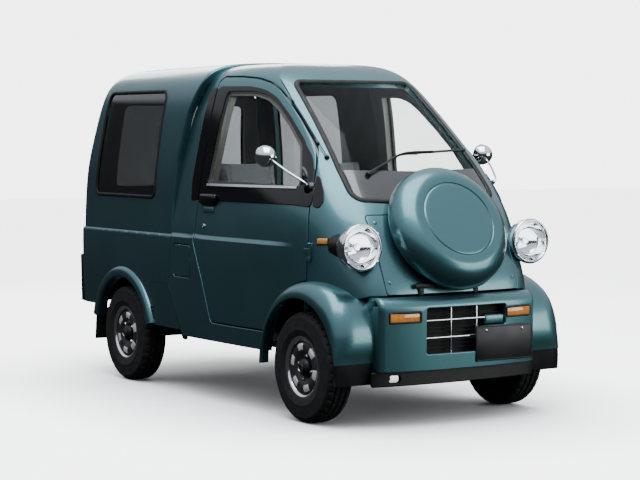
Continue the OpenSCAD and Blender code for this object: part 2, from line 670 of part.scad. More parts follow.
module chassis_frame() color(black) {
    both() translate([rail_x - rail_w/2, 0, 0]) {
        translate([0, by(-1164) + joint, low_rail_z]) cube([rail_w, by(330) - by(-1164) - 2*joint, rail_h]);
        translate([0, by(330), low_rail_z]) cube([rail_w, 50, high_rail_z + rail_h - low_rail_z]);
        translate([0, by(330) + 50 + joint, high_rail_z]) cube([rail_w, by(1440) - wall - by(330) - 50 - joint, rail_h]);
    }
    for (m = [[-640, low_rail_z + 8], [340, high_rail_z + 10], [1345, high_rail_z + 10]])
        translate([-rail_x + rail_w/2 + joint, by(m[0]), m[1]]) cube([2*rail_x - rail_w - 2*joint, 30, 50]);
    difference() {
        union() {
            translate([-365, by(-1164) - 30, low_rail_z + 8]) cube([730, 30, 50]);
            translate([eye_x, by(eye_y), eye_z - 7]) cylinder(r = 18, h = 14);
            translate([eye_x - 9, by(eye_y), eye_z - 7]) cube([18, by(-1164) - by(eye_y), 14]);
            translate([eye_x - 9, by(-1164) - 20, eye_z - 7]) cube([18, 20, low_rail_z + 40 - eye_z]);
        }
        translate([eye_x, by(eye_y), eye_z]) cylinder(d = eye_d, h = 40, center = true);
    }
}
muffler_y = 480;
module engine_and_exhaust() color("#54585a") {
    translate([-150, by(-290), 236]) cube([300, by(110) - by(-290), 330]);
    both() for (y = [-250, 60])
        translate([100, by(y), low_rail_z + 10]) cube([rail_x - rail_w/2 - 0.3 - 100, 40, 20]);
    translate([-105, by(100), 285]) rotate([-90, 0, 0]) cylinder(r = 16, h = by(muffler_y + 10) - by(100));
    translate([-130, by(muffler_y), 285]) rotate([-90, 0, 0]) cylinder(r = 68, h = by(770) - by(muffler_y));
    translate([-130, by(760), 332]) rotate([-90, 0, 0]) cylinder(r = 16, h = by(1420) - by(760));
}
spindle_l = 92;
module rear_axle() color(black) {
    translate([0, rear_axle, axle_z]) rotate([0, 90, 0]) {
        translate([0, 0, -kingpin_x + 20]) cylinder(r = 32, h = 2*(kingpin_x - 20));
        translate([0, 0, -kingpin_x + 20 - spindle_l]) cylinder(d = spindle_d, h = 2*(kingpin_x - 20 + spindle_l));
    }
    translate([0, rear_axle, axle_z]) sphere(r = 92);
    both() translate([rail_x - 22, rear_axle, 0]) rotate([90, 0, 90]) linear_extrude(44) {
        polygon(concat([for (y = [-340:34:340]) [y, spring_z(y)]],
            [for (y = [340:-34:-340]) [y, spring_z(y) + 24]]));
        for (y = [-340, 340]) translate([y - 18, spring_z(340)]) square([36, high_rail_z - 0.3 - spring_z(340)]);
    }
}
function spring_z(y) = axle_z + 32 + joint + 120*pow(y/340, 2);
module front_suspension() color(black) both() {
    translate([rail_x - 20, front_axle - 22, axle_z - 100]) cube([kingpin_x + 8 - rail_x + 20, 44, 29.7]);
    translate([rail_x - 20, front_axle - 22, axle_z - 80]) cube([40, 44, low_rail_z - 0.3 - axle_z + 80]);
    translate([430, front_axle, axle_z - 80]) cylinder(r = 18, h = sqrt(arch_r*arch_r - 18*18) + 80 - 0.4);
}
module knuckle() color("#6b6e70") {
    translate([kingpin_x, front_axle, axle_z]) {
        translate([-22, -28, -70]) cube([34, 56, 140]);
        rotate([0, 90, 0]) cylinder(d = spindle_d, h = spindle_l - 20);
    }
}
module knuckle_left() knuckle();
module knuckle_right() mirror([1, 0, 0]) knuckle();
module at_wheel(side, y) {
    translate([side*track/2, y, axle_z]) rotate([0, side*90, 0]) children();
}
module rim() color(chrome) {
    r = rim_d/2;
    difference() {
        union() {
            rotate_extrude($fn = 64) polygon([
                [r - 12, -rim_w/2 - 4], [r + 17, -rim_w/2 - 4], [r + 17, -rim_w/2], [r, -rim_w/2 + 2],
                [r, rim_w/2 - 2], [r + 17, rim_w/2], [r + 17, rim_w/2 + 4], [r - 12, rim_w/2 + 4]]);
            translate([0, 0, rim_w/2 - 40]) cylinder(r = r - 8, h = 10);
            translate([0, 0, -30]) cylinder(r = 46, h = 60);
        }
        translate([0, 0, -40]) cylinder(d = spindle_d + 2*bearing_gap, h = 59);
        for (i = [0:rim_windows - 1]) rotate(i*360/rim_windows)
            translate([78, 0, 0]) cylinder(r = 15, h = rim_w);
    }
}
module tyre() color(black) {
    r = tyre_d/2;
    s = rim_d/2 + 0.2;
    rotate_extrude($fn = 96) polygon([
        [s, -rim_w/2 + 6], [s, rim_w/2 - 6], [s + 18, rim_w/2 - 3], [s + 26, tyre_w/2 - 12],
        [(s + r)/2, tyre_w/2], [r - 24, tyre_w/2 - 6], [r - 8, tyre_w/2 - 18], [r, tyre_w/2 - 36],
        [r, -tyre_w/2 + 36], [r - 8, -tyre_w/2 + 18], [r - 24, -tyre_w/2 + 6], [(s + r)/2, -tyre_w/2],
        [s + 26, -tyre_w/2 + 12], [s + 18, -rim_w/2 + 3]]);
}
module rim_front_right() at_wheel(-1, front_axle) rim();
module rim_front_left() at_wheel(1, front_axle) rim();
module rim_rear_right() at_wheel(-1, rear_axle) rim();
module rim_rear_left() at_wheel(1, rear_axle) rim();
module tyre_front_right() at_wheel(-1, front_axle) tyre();
module tyre_front_left() at_wheel(1, front_axle) tyre();
module tyre_rear_right() at_wheel(-1, rear_axle) tyre();
module tyre_rear_left() at_wheel(1, rear_axle) tyre();
module dashboard() color("#3a3d40") difference() {
    union() {
        intersection() {
            translate([-bx(470), 0, 0]) across(0, 2*bx(470)) polygon([for (p = [[-1026, 800], [-1010, 900],
                [-960, 985], [-790, 985], [-765, 960], [-790, 820], [-850, 780]]) byz(p)]);
            linear_extrude(height) polygon([for (p = cab_loop([985, -1115, 447, 62, 560, -902, 598], wall + 4, 2)) [p[0], p[1]]]);
        }
        translate([-bx(530), by(beam_y), bz(beam_z)]) rotate([0, 90, 0]) cylinder(r = 18, h = 2*bx(530));
        at_steering() translate([0, 0, -290]) cylinder(r = 26, h = 290 - 15.3);
    }
    at_steering() translate([0, 0, -90]) cylinder(r = 10.3, h = 100);
}
module seats() color("#55585c") for (x = [-270, 270])
    translate([bx(x), by(-310), seat_base_z + 0.3]) {
        translate([-195, 0, 0]) cube([390, 460, 120]);
        translate([-195, 440, 0]) rotate([-12, 0, 0]) translate([0, -100, 60]) cube([390, 100, 560]);
    }
wheel_tilt = 35;
module at_steering() { translate([bx(-275), by(-540), bz(985)]) rotate([-90 + wheel_tilt, 0, 0]) children(); }
module steering_wheel() color(black) at_steering() {
    rotate_extrude($fn = 64) translate([steering_r - 13, 0]) circle(r = 13, $fn = 24);
    cylinder(r = 40, h = 30, center = true);
    translate([0, 0, -80]) cylinder(r = 10, h = 80);
    for (a = [0, 120, 240]) rotate(a + 90) translate([30, -12, -8]) cube([steering_r - 36, 24, 12]);
}

cab_shell();
nose_panel();
spare_wheel_cover();
front_bumper();
front_grille();
front_valance();
front_fenders();
headlight_housings();
headlight_lenses();
signal_lamps();
windscreen();
wiper();
door_right();
door_left();
door_glass_right();
door_glass_left();
mirror_right();
mirror_left();
fuel_lid();
bed_sides();
box_shell();
side_windows();
tailgate();
tailgate_glass();
rear_bumper();
tail_lamps();
number_plates();
floor_pan();
chassis_frame();
engine_and_exhaust();
rear_axle();
front_suspension();
knuckle_right();
knuckle_left();
rim_front_right();
rim_front_left();
rim_rear_right();
rim_rear_left();
tyre_front_right();
tyre_front_left();
tyre_rear_right();
tyre_rear_left();
dashboard();
seats();
steering_wheel();
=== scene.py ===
"""Looks of the small delivery van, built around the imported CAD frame.

Lengths in this file are millimetres at body stations: x from the middle of the
car, y from the middle of the wheelbase, z from the floor. mesh() turns them into
metres in the frame of the CAD model.
"""
import math

import bmesh
import bpy
import numpy as np
from mathutils import Matrix, Vector
from mathutils.geometry import delaunay_2d_cdt


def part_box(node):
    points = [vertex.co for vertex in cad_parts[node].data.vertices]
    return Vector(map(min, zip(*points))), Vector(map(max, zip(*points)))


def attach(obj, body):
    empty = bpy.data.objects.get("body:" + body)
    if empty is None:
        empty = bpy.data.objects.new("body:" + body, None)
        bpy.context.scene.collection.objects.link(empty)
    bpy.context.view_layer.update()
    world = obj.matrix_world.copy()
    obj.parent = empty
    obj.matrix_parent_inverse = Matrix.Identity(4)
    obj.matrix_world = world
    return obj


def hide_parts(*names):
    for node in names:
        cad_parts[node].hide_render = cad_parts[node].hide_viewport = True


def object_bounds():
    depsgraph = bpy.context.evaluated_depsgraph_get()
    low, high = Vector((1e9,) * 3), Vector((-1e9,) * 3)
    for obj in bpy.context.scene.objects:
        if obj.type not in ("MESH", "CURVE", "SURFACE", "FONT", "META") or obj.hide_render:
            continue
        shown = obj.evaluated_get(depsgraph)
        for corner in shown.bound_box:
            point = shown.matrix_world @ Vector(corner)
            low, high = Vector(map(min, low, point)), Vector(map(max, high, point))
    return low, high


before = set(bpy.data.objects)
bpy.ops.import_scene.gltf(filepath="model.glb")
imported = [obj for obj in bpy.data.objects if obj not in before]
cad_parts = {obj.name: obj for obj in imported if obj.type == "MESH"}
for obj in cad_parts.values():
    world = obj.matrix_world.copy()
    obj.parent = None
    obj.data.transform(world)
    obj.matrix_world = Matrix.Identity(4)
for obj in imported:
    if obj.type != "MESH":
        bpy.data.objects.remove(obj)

CAD_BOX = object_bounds()


def middle(node):
    lo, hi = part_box(node)
    return np.array((lo + hi) / 2) * 1000


FRONT_AXLE = middle("tyre_front_right")
REAR_AXLE = middle("tyre_rear_right")
MID_Y = (FRONT_AXLE[1] + REAR_AXLE[1]) / 2
AXLE_Z = FRONT_AXLE[2]
FRONT = FRONT_AXLE[1] - MID_Y
REAR = REAR_AXLE[1] - MID_Y
TRACK = 2 * abs(FRONT_AXLE[0])
SIDES = (("right", -1), ("left", 1))

# ---------------------------------------------------------------- materials


def shader(name, color, rough=0.5, metal=0.0, **inputs):
    m = bpy.data.materials.new(name)
    m.use_nodes = True
    nt = m.node_tree
    b = nt.nodes["Principled BSDF"]
    b.inputs["Base Color"].default_value = (*color, 1)
    b.inputs["Roughness"].default_value = rough
    b.inputs["Metallic"].default_value = metal
    for k, v in inputs.items():
        b.inputs[k.replace("_", " ")].default_value = v
    return m


def add(m, kind, **values):
    n = m.node_tree.nodes.new(kind)
    for k, v in values.items():
        if hasattr(n, k):
            setattr(n, k, v)
        else:
            n.inputs[k.replace("_", " ")].default_value = v
    return n


def link(m, a, out, b, inp):
    m.node_tree.links.new(a.outputs[out], b.inputs[inp])


def vary(m, scale, low, high, target="Base Color", detail=4.0, stretch=None):
    """Drives a socket with noise between two values or two colours."""
    b = m.node_tree.nodes["Principled BSDF"]
    pos = add(m, "ShaderNodeTexCoord")
    src, out = pos, "Object"
    if stretch:
        mp = add(m, "ShaderNodeMapping")
        mp.inputs["Scale"].default_value = stretch
        link(m, src, out, mp, "Vector")
        src, out = mp, "Vector"
    n = add(m, "ShaderNodeTexNoise", Scale=scale, Detail=detail, Roughness=0.55)
    link(m, src, out, n, "Vector")
    ramp = add(m, "ShaderNodeValToRGB")
    ramp.color_ramp.elements[0].position, ramp.color_ramp.elements[1].position = 0.3, 0.7
    if target == "Base Color":
        ramp.color_ramp.elements[0].color = (*low, 1)
        ramp.color_ramp.elements[1].color = (*high, 1)
    else:
        ramp.color_ramp.elements[0].color = (low,) * 3 + (1,)
        ramp.color_ramp.elements[1].color = (high,) * 3 + (1,)
    link(m, n, "Fac", ramp, "Fac")
    link(m, ramp, "Color", b, target)
    return n


def bump(m, scale, strength, distance=0.0004):
    """A fine noise in the normals."""
    b = m.node_tree.nodes["Principled BSDF"]
    pos = add(m, "ShaderNodeTexCoord")
    n = add(m, "ShaderNodeTexNoise", Scale=scale)
    link(m, pos, "Object", n, "Vector")
    bp = add(m, "ShaderNodeBump", Strength=strength, Distance=distance)
    link(m, n, "Fac", bp, "Height")
    link(m, bp, "Normal", b, "Normal")


PAINT_RGB = (0.056, 0.150, 0.168)
PAINT = shader("paint", PAINT_RGB, 0.32, 0.82, Coat_Weight=0.6, Coat_Roughness=0.13, Coat_IOR=1.5)
vary(PAINT, 900, tuple(c * 0.86 for c in PAINT_RGB), tuple(c * 1.16 for c in PAINT_RGB), detail=2)
vary(PAINT, 3.2, 0.31, 0.38, "Roughness")
CHROME = shader("chrome", (0.83, 0.85, 0.87), 0.06, 1.0)
vary(CHROME, 14, 0.04, 0.10, "Roughness")
BRIGHT = shader("polished_steel", (0.72, 0.74, 0.76), 0.2, 1.0)
vary(BRIGHT, 40, 0.12, 0.3, "Roughness")
SILVER = shader("silver_lacquer", (0.86, 0.87, 0.88), 0.3, 0.35)
vary(SILVER, 50, 0.24, 0.36, "Roughness")
BLACK = shader("black_plastic", (0.006, 0.006, 0.007), 0.42, Specular_IOR_Level=0.35)
vary(BLACK, 22, 0.34, 0.5, "Roughness")
bump(BLACK, 1400, 0.25)
RUBBER = shader("rubber", (0.006, 0.006, 0.006), 0.6, Specular_IOR_Level=0.35)
vary(RUBBER, 30, 0.5, 0.72, "Roughness")
GLOSS_BLACK = shader("gloss_black", (0.003, 0.003, 0.004), 0.08, Specular_IOR_Level=0.4)
vary(GLOSS_BLACK, 6, 0.08, 0.14, "Roughness")
SATIN = shader("satin_grey", (0.10, 0.098, 0.092), 0.36, 0.5)
vary(SATIN, 60, 0.3, 0.44, "Roughness", stretch=(1, 0.1, 0.1))
FRAME_MAT = shader("chassis_black", (0.018, 0.018, 0.019), 0.5)
vary(FRAME_MAT, 18, (0.012, 0.012, 0.013), (0.035, 0.03, 0.026))
bump(FRAME_MAT, 90, 0.2, 0.001)
CAST = shader("cast_metal", (0.16, 0.16, 0.155), 0.55, 0.8)
vary(CAST, 35, (0.10, 0.098, 0.092), (0.24, 0.23, 0.22))
bump(CAST, 240, 0.35, 0.0008)
UNDER = shader("floor_paint", (0.02, 0.035, 0.04), 0.6)
vary(UNDER, 9, (0.014, 0.022, 0.026), (0.035, 0.05, 0.056))
bump(UNDER, 160, 0.25, 0.0006)
TYRE = shader("tyre", (0.010, 0.010, 0.011), 0.75, Specular_IOR_Level=0.35)
vary(TYRE, 26, (0.007, 0.007, 0.008), (0.017, 0.0165, 0.016))
bump(TYRE, 420, 0.3, 0.0006)
GLASS = shader("glass", (0.78, 0.82, 0.81), 0.0, Transmission_Weight=1.0, IOR=1.1, Specular_IOR_Level=0.9)
vary(GLASS, 3, (0.70, 0.74, 0.74), (0.80, 0.84, 0.83))
DARK_GLASS = shader("dark_glass", (0.10, 0.105, 0.11), 0.0, Transmission_Weight=1.0, IOR=1.3, Coat_Weight=1.0,
                    Coat_Roughness=0.0, Coat_IOR=1.6)
vary(DARK_GLASS, 2.5, (0.095, 0.10, 0.105), (0.11, 0.115, 0.12))
BAND = shader("windscreen_band", (0.02, 0.021, 0.022), 0.18, Coat_Weight=0.8, Coat_Roughness=0.02)
vary(BAND, 5, 0.15, 0.25, "Roughness")
AMBER = shader("amber_lens", (0.86, 0.34, 0.05), 0.12, Transmission_Weight=0.35, Coat_Weight=1.0,
               Coat_Roughness=0.03)
vary(AMBER, 130, (0.72, 0.24, 0.03), (0.95, 0.45, 0.09), stretch=(1, 1, 0.2))
RED = shader("red_lens", (0.42, 0.012, 0.012), 0.14, Coat_Weight=1.0, Coat_Roughness=0.03)
vary(RED, 120, (0.30, 0.006, 0.006), (0.52, 0.02, 0.018))
TRIM = shader("trim_plastic", (0.055, 0.057, 0.06), 0.62)
vary(TRIM, 16, (0.045, 0.047, 0.05), (0.07, 0.072, 0.075))
bump(TRIM, 700, 0.4, 0.0005)
LINER = shader("wheel_house", (0.010, 0.010, 0.011), 0.85)
vary(LINER, 12, (0.006, 0.006, 0.007), (0.018, 0.017, 0.016))
PLATE = shader("plate_black", (0.006, 0.0065, 0.008), 0.35, Specular_IOR_Level=0.35)
vary(PLATE, 10, 0.28, 0.42, "Roughness")
LENS = shader("lamp_glass", (0.95, 0.97, 0.98), 0.0, Transmission_Weight=1.0, IOR=1.12,
              Specular_IOR_Level=0.8)
bump(LENS, 1, 0.0, 0.0005)
FABRIC = shader("seat_cloth", (0.10, 0.105, 0.115), 0.9, Sheen_Weight=0.5, Sheen_Roughness=0.4)
vary(FABRIC, 380, (0.07, 0.074, 0.082), (0.15, 0.155, 0.165), detail=3)
bump(FABRIC, 900, 0.6, 0.0009)
# The floor is not a lamp, but it glows by emission. An ambient-occlusion node dims that glow close to the
# car, which paints a contact shadow under it.
FLOOR_GLOW_AND_PAINTED_SHADOW = shader("studio", (0.93, 0.93, 0.93), 0.75, Emission_Color=(1, 1, 1, 1))
vary(FLOOR_GLOW_AND_PAINTED_SHADOW, 0.6, (0.92, 0.92, 0.92), (0.94, 0.94, 0.94))
painted_contact_shadow = add(FLOOR_GLOW_AND_PAINTED_SHADOW, "ShaderNodeAmbientOcclusion", Distance=1.1)
painted_contact_shadow.samples = 12
power = add(FLOOR_GLOW_AND_PAINTED_SHADOW, "ShaderNodeMath", operation="POWER")
power.inputs[1].default_value = 3.0
painted_floor_glow = add(FLOOR_GLOW_AND_PAINTED_SHADOW, "ShaderNodeMath", operation="MULTIPLY")
painted_floor_glow.inputs[1].default_value = 3.2
link(FLOOR_GLOW_AND_PAINTED_SHADOW, painted_contact_shadow, "AO", power, 0)
link(FLOOR_GLOW_AND_PAINTED_SHADOW, power, 0, painted_floor_glow, 0)
link(FLOOR_GLOW_AND_PAINTED_SHADOW, painted_floor_glow, 0, FLOOR_GLOW_AND_PAINTED_SHADOW.node_tree.nodes["Principled BSDF"], "Emission Strength")

# ------------------------------------------------------------------ meshes


def mesh(name, verts, faces, mats, body, normals=None, face_mats=None,
         replaces=()):
    """A piece from millimetre station points, riding on a body."""
    v = np.asarray(verts, float)
    v = (v + (0, MID_Y, 0)) / 1000
    me = bpy.data.meshes.new(name)
    me.from_pydata(v.tolist(), [], [tuple(int(i) for i in f) for f in faces])
    mats = mats if isinstance(mats, (list, tuple)) else [mats]
    for m in mats:
        me.materials.append(m)
    if face_mats is not None:
        me.polygons.foreach_set("material_index", list(face_mats))
    me.polygons.foreach_set("use_smooth", [True] * len(me.polygons))
    me.validate()
    me.update()
    ob = bpy.data.objects.new(name, me)
    bpy.context.scene.collection.objects.link(ob)
    if normals is not None:
        me.normals_split_custom_set([tuple(n) for n in normals])
    if body:
        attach(ob, body)
    if replaces:
        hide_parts(*replaces)
    return ob


def auto_smooth(ob, angle=35):
    """Sharp shading across edges over that angle."""
    me = ob.data
    bm = bmesh.new()
    bm.from_mesh(me)
    for e in bm.edges:
        if len(e.link_faces) == 2:
            e.smooth = e.calc_face_angle(0) < math.radians(angle)
    bm.to_mesh(me)
    bm.free()
    return ob


def unit(v):
    v = np.asarray(v, float)
    return v / np.maximum(np.linalg.norm(v, axis=-1, keepdims=True), 1e-12)


def fillet(points, radius, n=6):
    """A closed outline with each corner rounded."""
    pts = [np.array(p, float) for p in points]
    rad = radius if isinstance(radius, (list, tuple)) else [radius] * len(pts)
    out = []
    for i, p in enumerate(pts):
        a, b = pts[i - 1], pts[(i + 1) % len(pts)]
        la, lb = np.linalg.norm(a - p), np.linalg.norm(b - p)
        u, w = (a - p) / la, (b - p) / lb
        ang = math.acos(np.clip(u @ w, -1, 1))
        if ang > math.pi - 0.03 or rad[i] <= 0:
            out.append(p)
            continue
        d = min(rad[i] / math.tan(ang / 2), 0.45 * la, 0.45 * lb)
        rr = d * math.tan(ang / 2)
        c = p + unit(u + w) * rr / math.sin(ang / 2)
        a0 = math.atan2(*((p + u * d - c)[::-1]))
        a1 = math.atan2(*((p + w * d - c)[::-1]))
        da = (a1 - a0 + math.pi) % (2 * math.pi) - math.pi
        out += [c + rr * np.array([math.cos(a0 + da * k / n), math.sin(a0 + da * k / n)])
                for k in range(n + 1)]
    return np.array(out)


def dense(loop, step=14.0, closed=True):
    loop = np.asarray(loop, float)
    out = []
    count = len(loop) if closed else len(loop) - 1
    for i in range(count):
        a, b = loop[i], loop[(i + 1) % len(loop)]
        k = max(1, int(math.ceil(np.linalg.norm(b - a) / step)))
        out += [a + (b - a) * j / k for j in range(k)]
    if not closed:
        out.append(loop[-1])
    return np.array(out)


def arc(cx, cy, r, a0, a1, n=24):
    return [(cx + r * math.cos(math.radians(a0 + (a1 - a0) * k / n)),
             cy + r * math.sin(math.radians(a0 + (a1 - a0) * k / n))) for k in range(n + 1)]


# ----------------------------------------------------------- body surfaces


def basis(t):
    return ((1 - t) ** 3 / 6, (3 * t ** 3 - 6 * t * t + 4) / 6,
            (-3 * t ** 3 + 3 * t * t + 3 * t + 1) / 6, t ** 3 / 6)


class Net:
    """A smooth surface through rows of control points, from the middle plane to
    one side. s runs along a row, below zero on the other side, and v over the rows."""

    def __init__(self, rows, hand, scale, relief=None):
        p = np.array(rows, float)
        self.scale = np.array(scale, float)
        q = np.concatenate([p[:, 1:2] * (-1, 1, 1), p, 2 * p[:, -1:] - p[:, -2:-1]], 1)
        self.q = np.concatenate([2 * q[:1] - q[1:2], q, 2 * q[-1:] - q[-2:-1]], 0)
        self.ns, self.nv, self.hand, self.relief = p.shape[1] - 1, p.shape[0] - 1, hand, relief
        self.vt = np.linspace(0, self.nv, 600)
        self.zt = self.raw(np.full(600, self.ns * 0.5), self.vt)[:, 2]
        self.st = np.linspace(0, self.ns, 500)

    def raw(self, s, v):
        s, v = np.broadcast_arrays(np.asarray(s, float), np.asarray(v, float))
        a = np.abs(s)
        k = np.clip(a.astype(int), 0, self.ns - 1)
        j = np.clip(v.astype(int), 0, self.nv - 1)
        wa, wb = basis(a - k), basis(v - j)
        out = sum(wa[i][..., None] * wb[m][..., None] * self.q[j + m, k + i]
                  for i in range(4) for m in range(4))
        out[..., 0] *= np.where(s < 0, -1, 1)
        return out

    def flat_normal(self, s, v):
        e = 2e-3
        v = np.clip(v, e, self.nv - 0.02)
        ds = self.raw(s + e, v) - self.raw(s - e, v)
        dv = self.raw(s, v + e) - self.raw(s, v - e)
        return unit(np.cross(ds, dv)) * self.hand

    def point(self, s, v, out=0.0):
        p = self.raw(s, v)
        d = np.zeros(p.shape[:-1]) + out
        if self.relief is not None:
            d = d + self.relief(p)
        return p + self.flat_normal(s, v) * d[..., None] if np.any(d) else p

    def normal(self, s, v):
        if self.relief is None:
            return self.flat_normal(s, v)
        e = 4e-3
        v = np.clip(v, e, self.nv - 0.02)
        ds = self.point(s + e, v) - self.point(s - e, v)
        dv = self.point(s, v + e) - self.point(s, v - e)
        return unit(np.cross(ds, dv)) * self.hand

    def rows_at(self, z):
        return np.interp(z, self.zt, self.vt)

    def side(self, yz, sign=1):
        """Surface coordinates of points given by y and z on one side."""
        yz = np.asarray(yz, float)
        v = self.rows_at(yz[:, 1])
        y = self.raw(self.st[None, :], v[:, None])[..., 1]
        s = np.array([np.interp(q, row, self.st) if self.hand > 0 else
                      np.interp(-q, -row, self.st) for q, row in zip(yz[:, 0], y)])
        return np.stack([sign * s, v], 1)

    def face(self, xz):
        """Surface coordinates of points given by x and z, on the front or rear."""
        xz = np.asarray(xz, float)
        v = self.rows_at(xz[:, 1])
        x = self.raw(self.st[None, :], v[:, None])[..., 0]
        s = np.array([np.interp(abs(q), row, self.st) for q, row in zip(xz[:, 0], x)])
        return np.stack([np.sign(xz[:, 0]) * s, v], 1)


def flip(sv):
    """The same outline on the other side of the car."""
    sv = np.array(sv, float)
    return (sv * (-1, 1))[::-1]


def inside(points, loops):
    """Whether each point lies inside an odd number of loops."""
    x, y = points[:, 0][:, None], points[:, 1][:, None]
    odd = np.zeros(len(points), bool)
    for loop in loops:
        a, b = loop, np.roll(loop, -1, 0)
        c = (a[:, 1] > y) != (b[:, 1] > y)
        with np.errstate(divide="ignore", invalid="ignore"):
            xi = (b[:, 0] - a[:, 0]) * (y - a[:, 1]) / (b[:, 1] - a[:, 1]) + a[:, 0]
        odd ^= (np.where(c & (x < xi), 1, 0).sum(1) % 2).astype(bool)
    return odd


def area2(loop):
    a, b = loop, np.roll(loop, -1, 0)
    return float((a[:, 0] * b[:, 1] - b[:, 0] * a[:, 1]).sum())


class Wrap:
    """A surface given by a function of two coordinates."""

    def __init__(self, fn, hand, scale=(100, 100)):
        self.fn, self.hand, self.scale = fn, hand, np.array(scale, float)

    def point(self, s, v, out=0.0):
        return self.fn(s, v) + self.normal(s, v) * out

    def normal(self, s, v):
        e = 5e-3
        return unit(np.cross(self.fn(s + e, v) - self.fn(s - e, v),
                             self.fn(s, v + e) - self.fn(s, v - e))) * self.hand


def rolled(r, depth):
    """Edge profile from the face outwards and down: a rounding, then a flange."""
    n = 3
    arcs = [(r * (math.sin(f) - 1), r * (1 - math.cos(f)), math.sin(f), math.cos(f))
            for f in [math.pi / 2 * k / n for k in range(n + 1)]]
    return arcs + [(0.0, depth, 1.0, 0.0)]


def panel(name, net, outline, holes=(), t=18.0, r=3.0, hole_r=None, grid=(0.25, 0.34), out=0.0,
          mats=None, body="body", replaces=(), lines_v=(), lines_s=(), joined=None):
    """A closed sheet over part of a net, with rolled edges all round.

    joined says which outline points lie on the middle line where the two
    halves of the net meet, so that their edge stays square."""
    loops = []
    for i, loop in enumerate([outline, *holes]):
        loop = np.array(loop, float)
        ccw = area2(loop) > 0
        loops.append(loop if ccw == (i == 0) else loop[::-1])
    scale = net.scale
    scaled = [l * scale for l in loops]
    lo, hi = loops[0].min(0), loops[0].max(0)
    sg = np.arange(math.floor(lo[0] / grid[0]), math.ceil(hi[0] / grid[0]) + 1) * grid[0]
    vg = np.arange(math.floor(lo[1] / grid[1]), math.ceil(hi[1] / grid[1]) + 1) * grid[1]
    sg = np.unique(np.round(np.concatenate([sg, lines_s]), 5))
    vg = np.unique(np.round(np.concatenate([vg, lines_v]), 5))
    g = np.stack(np.meshgrid(sg, vg), -1).reshape(-1, 2)
    g = g[inside(g * scale, scaled)]
    pts = np.concatenate(scaled)
    keep = np.ones(len(g), bool)
    for k in range(0, len(g), 2000):
        d = np.linalg.norm((g[k:k + 2000] * scale)[:, None] - pts[None], axis=2).min(1)
        keep[k:k + 2000] = d > max(6.0, 0.9 * r)
    g = g[keep]
    coords = np.concatenate([pts, g * scale])
    edges, base = [], 0
    for l in loops:
        edges += [(base + i, base + (i + 1) % len(l)) for i in range(len(l))]
        base += len(l)
    res = delaunay_2d_cdt([Vector(c) for c in coords.tolist()], edges, [], 0, 1e-4)
    flat = np.array([tuple(p) for p in res[0]])
    tris = np.array([tuple(f) for f in res[2] if len(f) == 3])
    cent = flat[tris].mean(1)
    tris = tris[inside(cent, scaled)]
    back = {}
    for new, olds in enumerate(res[3]):
        for o in olds:
            back[o] = new
    sv = flat / scale
    pos = net.point(sv[:, 0], sv[:, 1], out)
    nor = net.normal(sv[:, 0], sv[:, 1])
    a, b, c = pos[tris[:, 0]], pos[tris[:, 1]], pos[tris[:, 2]]
    wrong = (np.cross(b - a, c - a) * nor[tris[:, 0]]).sum(1) < 0
    tris[wrong] = tris[wrong][:, ::-1]
    depth = t
    n0 = len(pos)
    verts = [pos.copy()]
    under = pos - nor * depth
    faces, corner = [], []
    ring_list = []
    base = 0
    total = n0
    for li, l in enumerate(loops):
        ids = np.array([back[base + i] for i in range(len(l))])
        base += len(l)
        ids = ids[np.concatenate([[True], ids[1:] != ids[:-1]])]
        p, n = pos[ids], nor[ids]
        free = np.ones(len(ids), bool)
        if joined is not None and li == 0:
            free = ~joined(sv[ids])
        profile = rolled(r if li == 0 or hole_r is None else hole_r, depth)
        tan = unit(np.roll(p, -1, 0) - np.roll(p, 1, 0))
        away = unit(np.cross(tan, n)) * net.hand
        verts[0][ids] = p + away * profile[0][0] * free[:, None]
        rings = [ids]
        for o, d, _, _ in profile[1:]:
            verts.append(p + away * o * free[:, None] - n * d)
            rings.append(np.arange(total, total + len(ids)))
            total += len(ids)
        ring_list.append((ids, rings, n, away, free, profile))
    low = np.arange(n0) + total
    verts.append(under)
    total += n0
    for ids, rings, n, away, free, prof in ring_list:
        low[ids] = rings[-1]
    vert = np.concatenate(verts)
    for tri in tris:
        faces.append(tuple(tri))
        corner += [nor[k] for k in tri]
    face_kind = [0] * len(faces)
    for ids, rings, n, away, free, prof in ring_list:
        m = len(ids)
        for k in range(len(rings) - 1):
            na = away * prof[k][2] + n * prof[k][3]
            nb = away * prof[k + 1][2] + n * prof[k + 1][3]
            for i in range(m):
                j = (i + 1) % m
                f = (rings[k][j], rings[k][i], rings[k + 1][i], rings[k + 1][j])
                cn = [na[j], na[i], nb[i], nb[j]]
                faces.append(f)
                corner += cn
                face_kind.append(1)
    for tri in tris:
        faces.append(tuple(low[k] for k in tri[::-1]))
        corner += [-nor[k] for k in tri[::-1]]
        face_kind.append(2)
    # ring faces face away from the material
    fixed, cursor, fc = [], 0, []
    for f, kind in zip(faces, face_kind):
        cn = corner[cursor:cursor + len(f)]
        cursor += len(f)
        if kind == 1:
            q = vert[list(f)]
            g3 = np.cross(q[1] - q[0], q[2] - q[0]) + np.cross(q[2] - q[0], q[3] - q[0])
            if g3 @ np.mean(cn, 0) < 0:
                f, cn = f[::-1], cn[::-1]
        fixed.append(f)
        fc += cn
    used = np.unique(np.concatenate([np.array(f) for f in fixed]))
    remap = -np.ones(len(vert), int)
    remap[used] = np.arange(len(used))
    fixed = [tuple(remap[list(f)]) for f in fixed]
    mats = mats or [PAINT]
    ob = mesh(name, vert[used], fixed, mats, body, normals=fc, replaces=replaces,
              face_mats=[0 if k < 2 or len(mats) < 2 else 1 for k in face_kind])
    return ob


def path_on(net, sv, out=0.0):
    sv = np.asarray(sv, float)
    return net.point(sv[:, 0], sv[:, 1], out), net.normal(sv[:, 0], sv[:, 1])


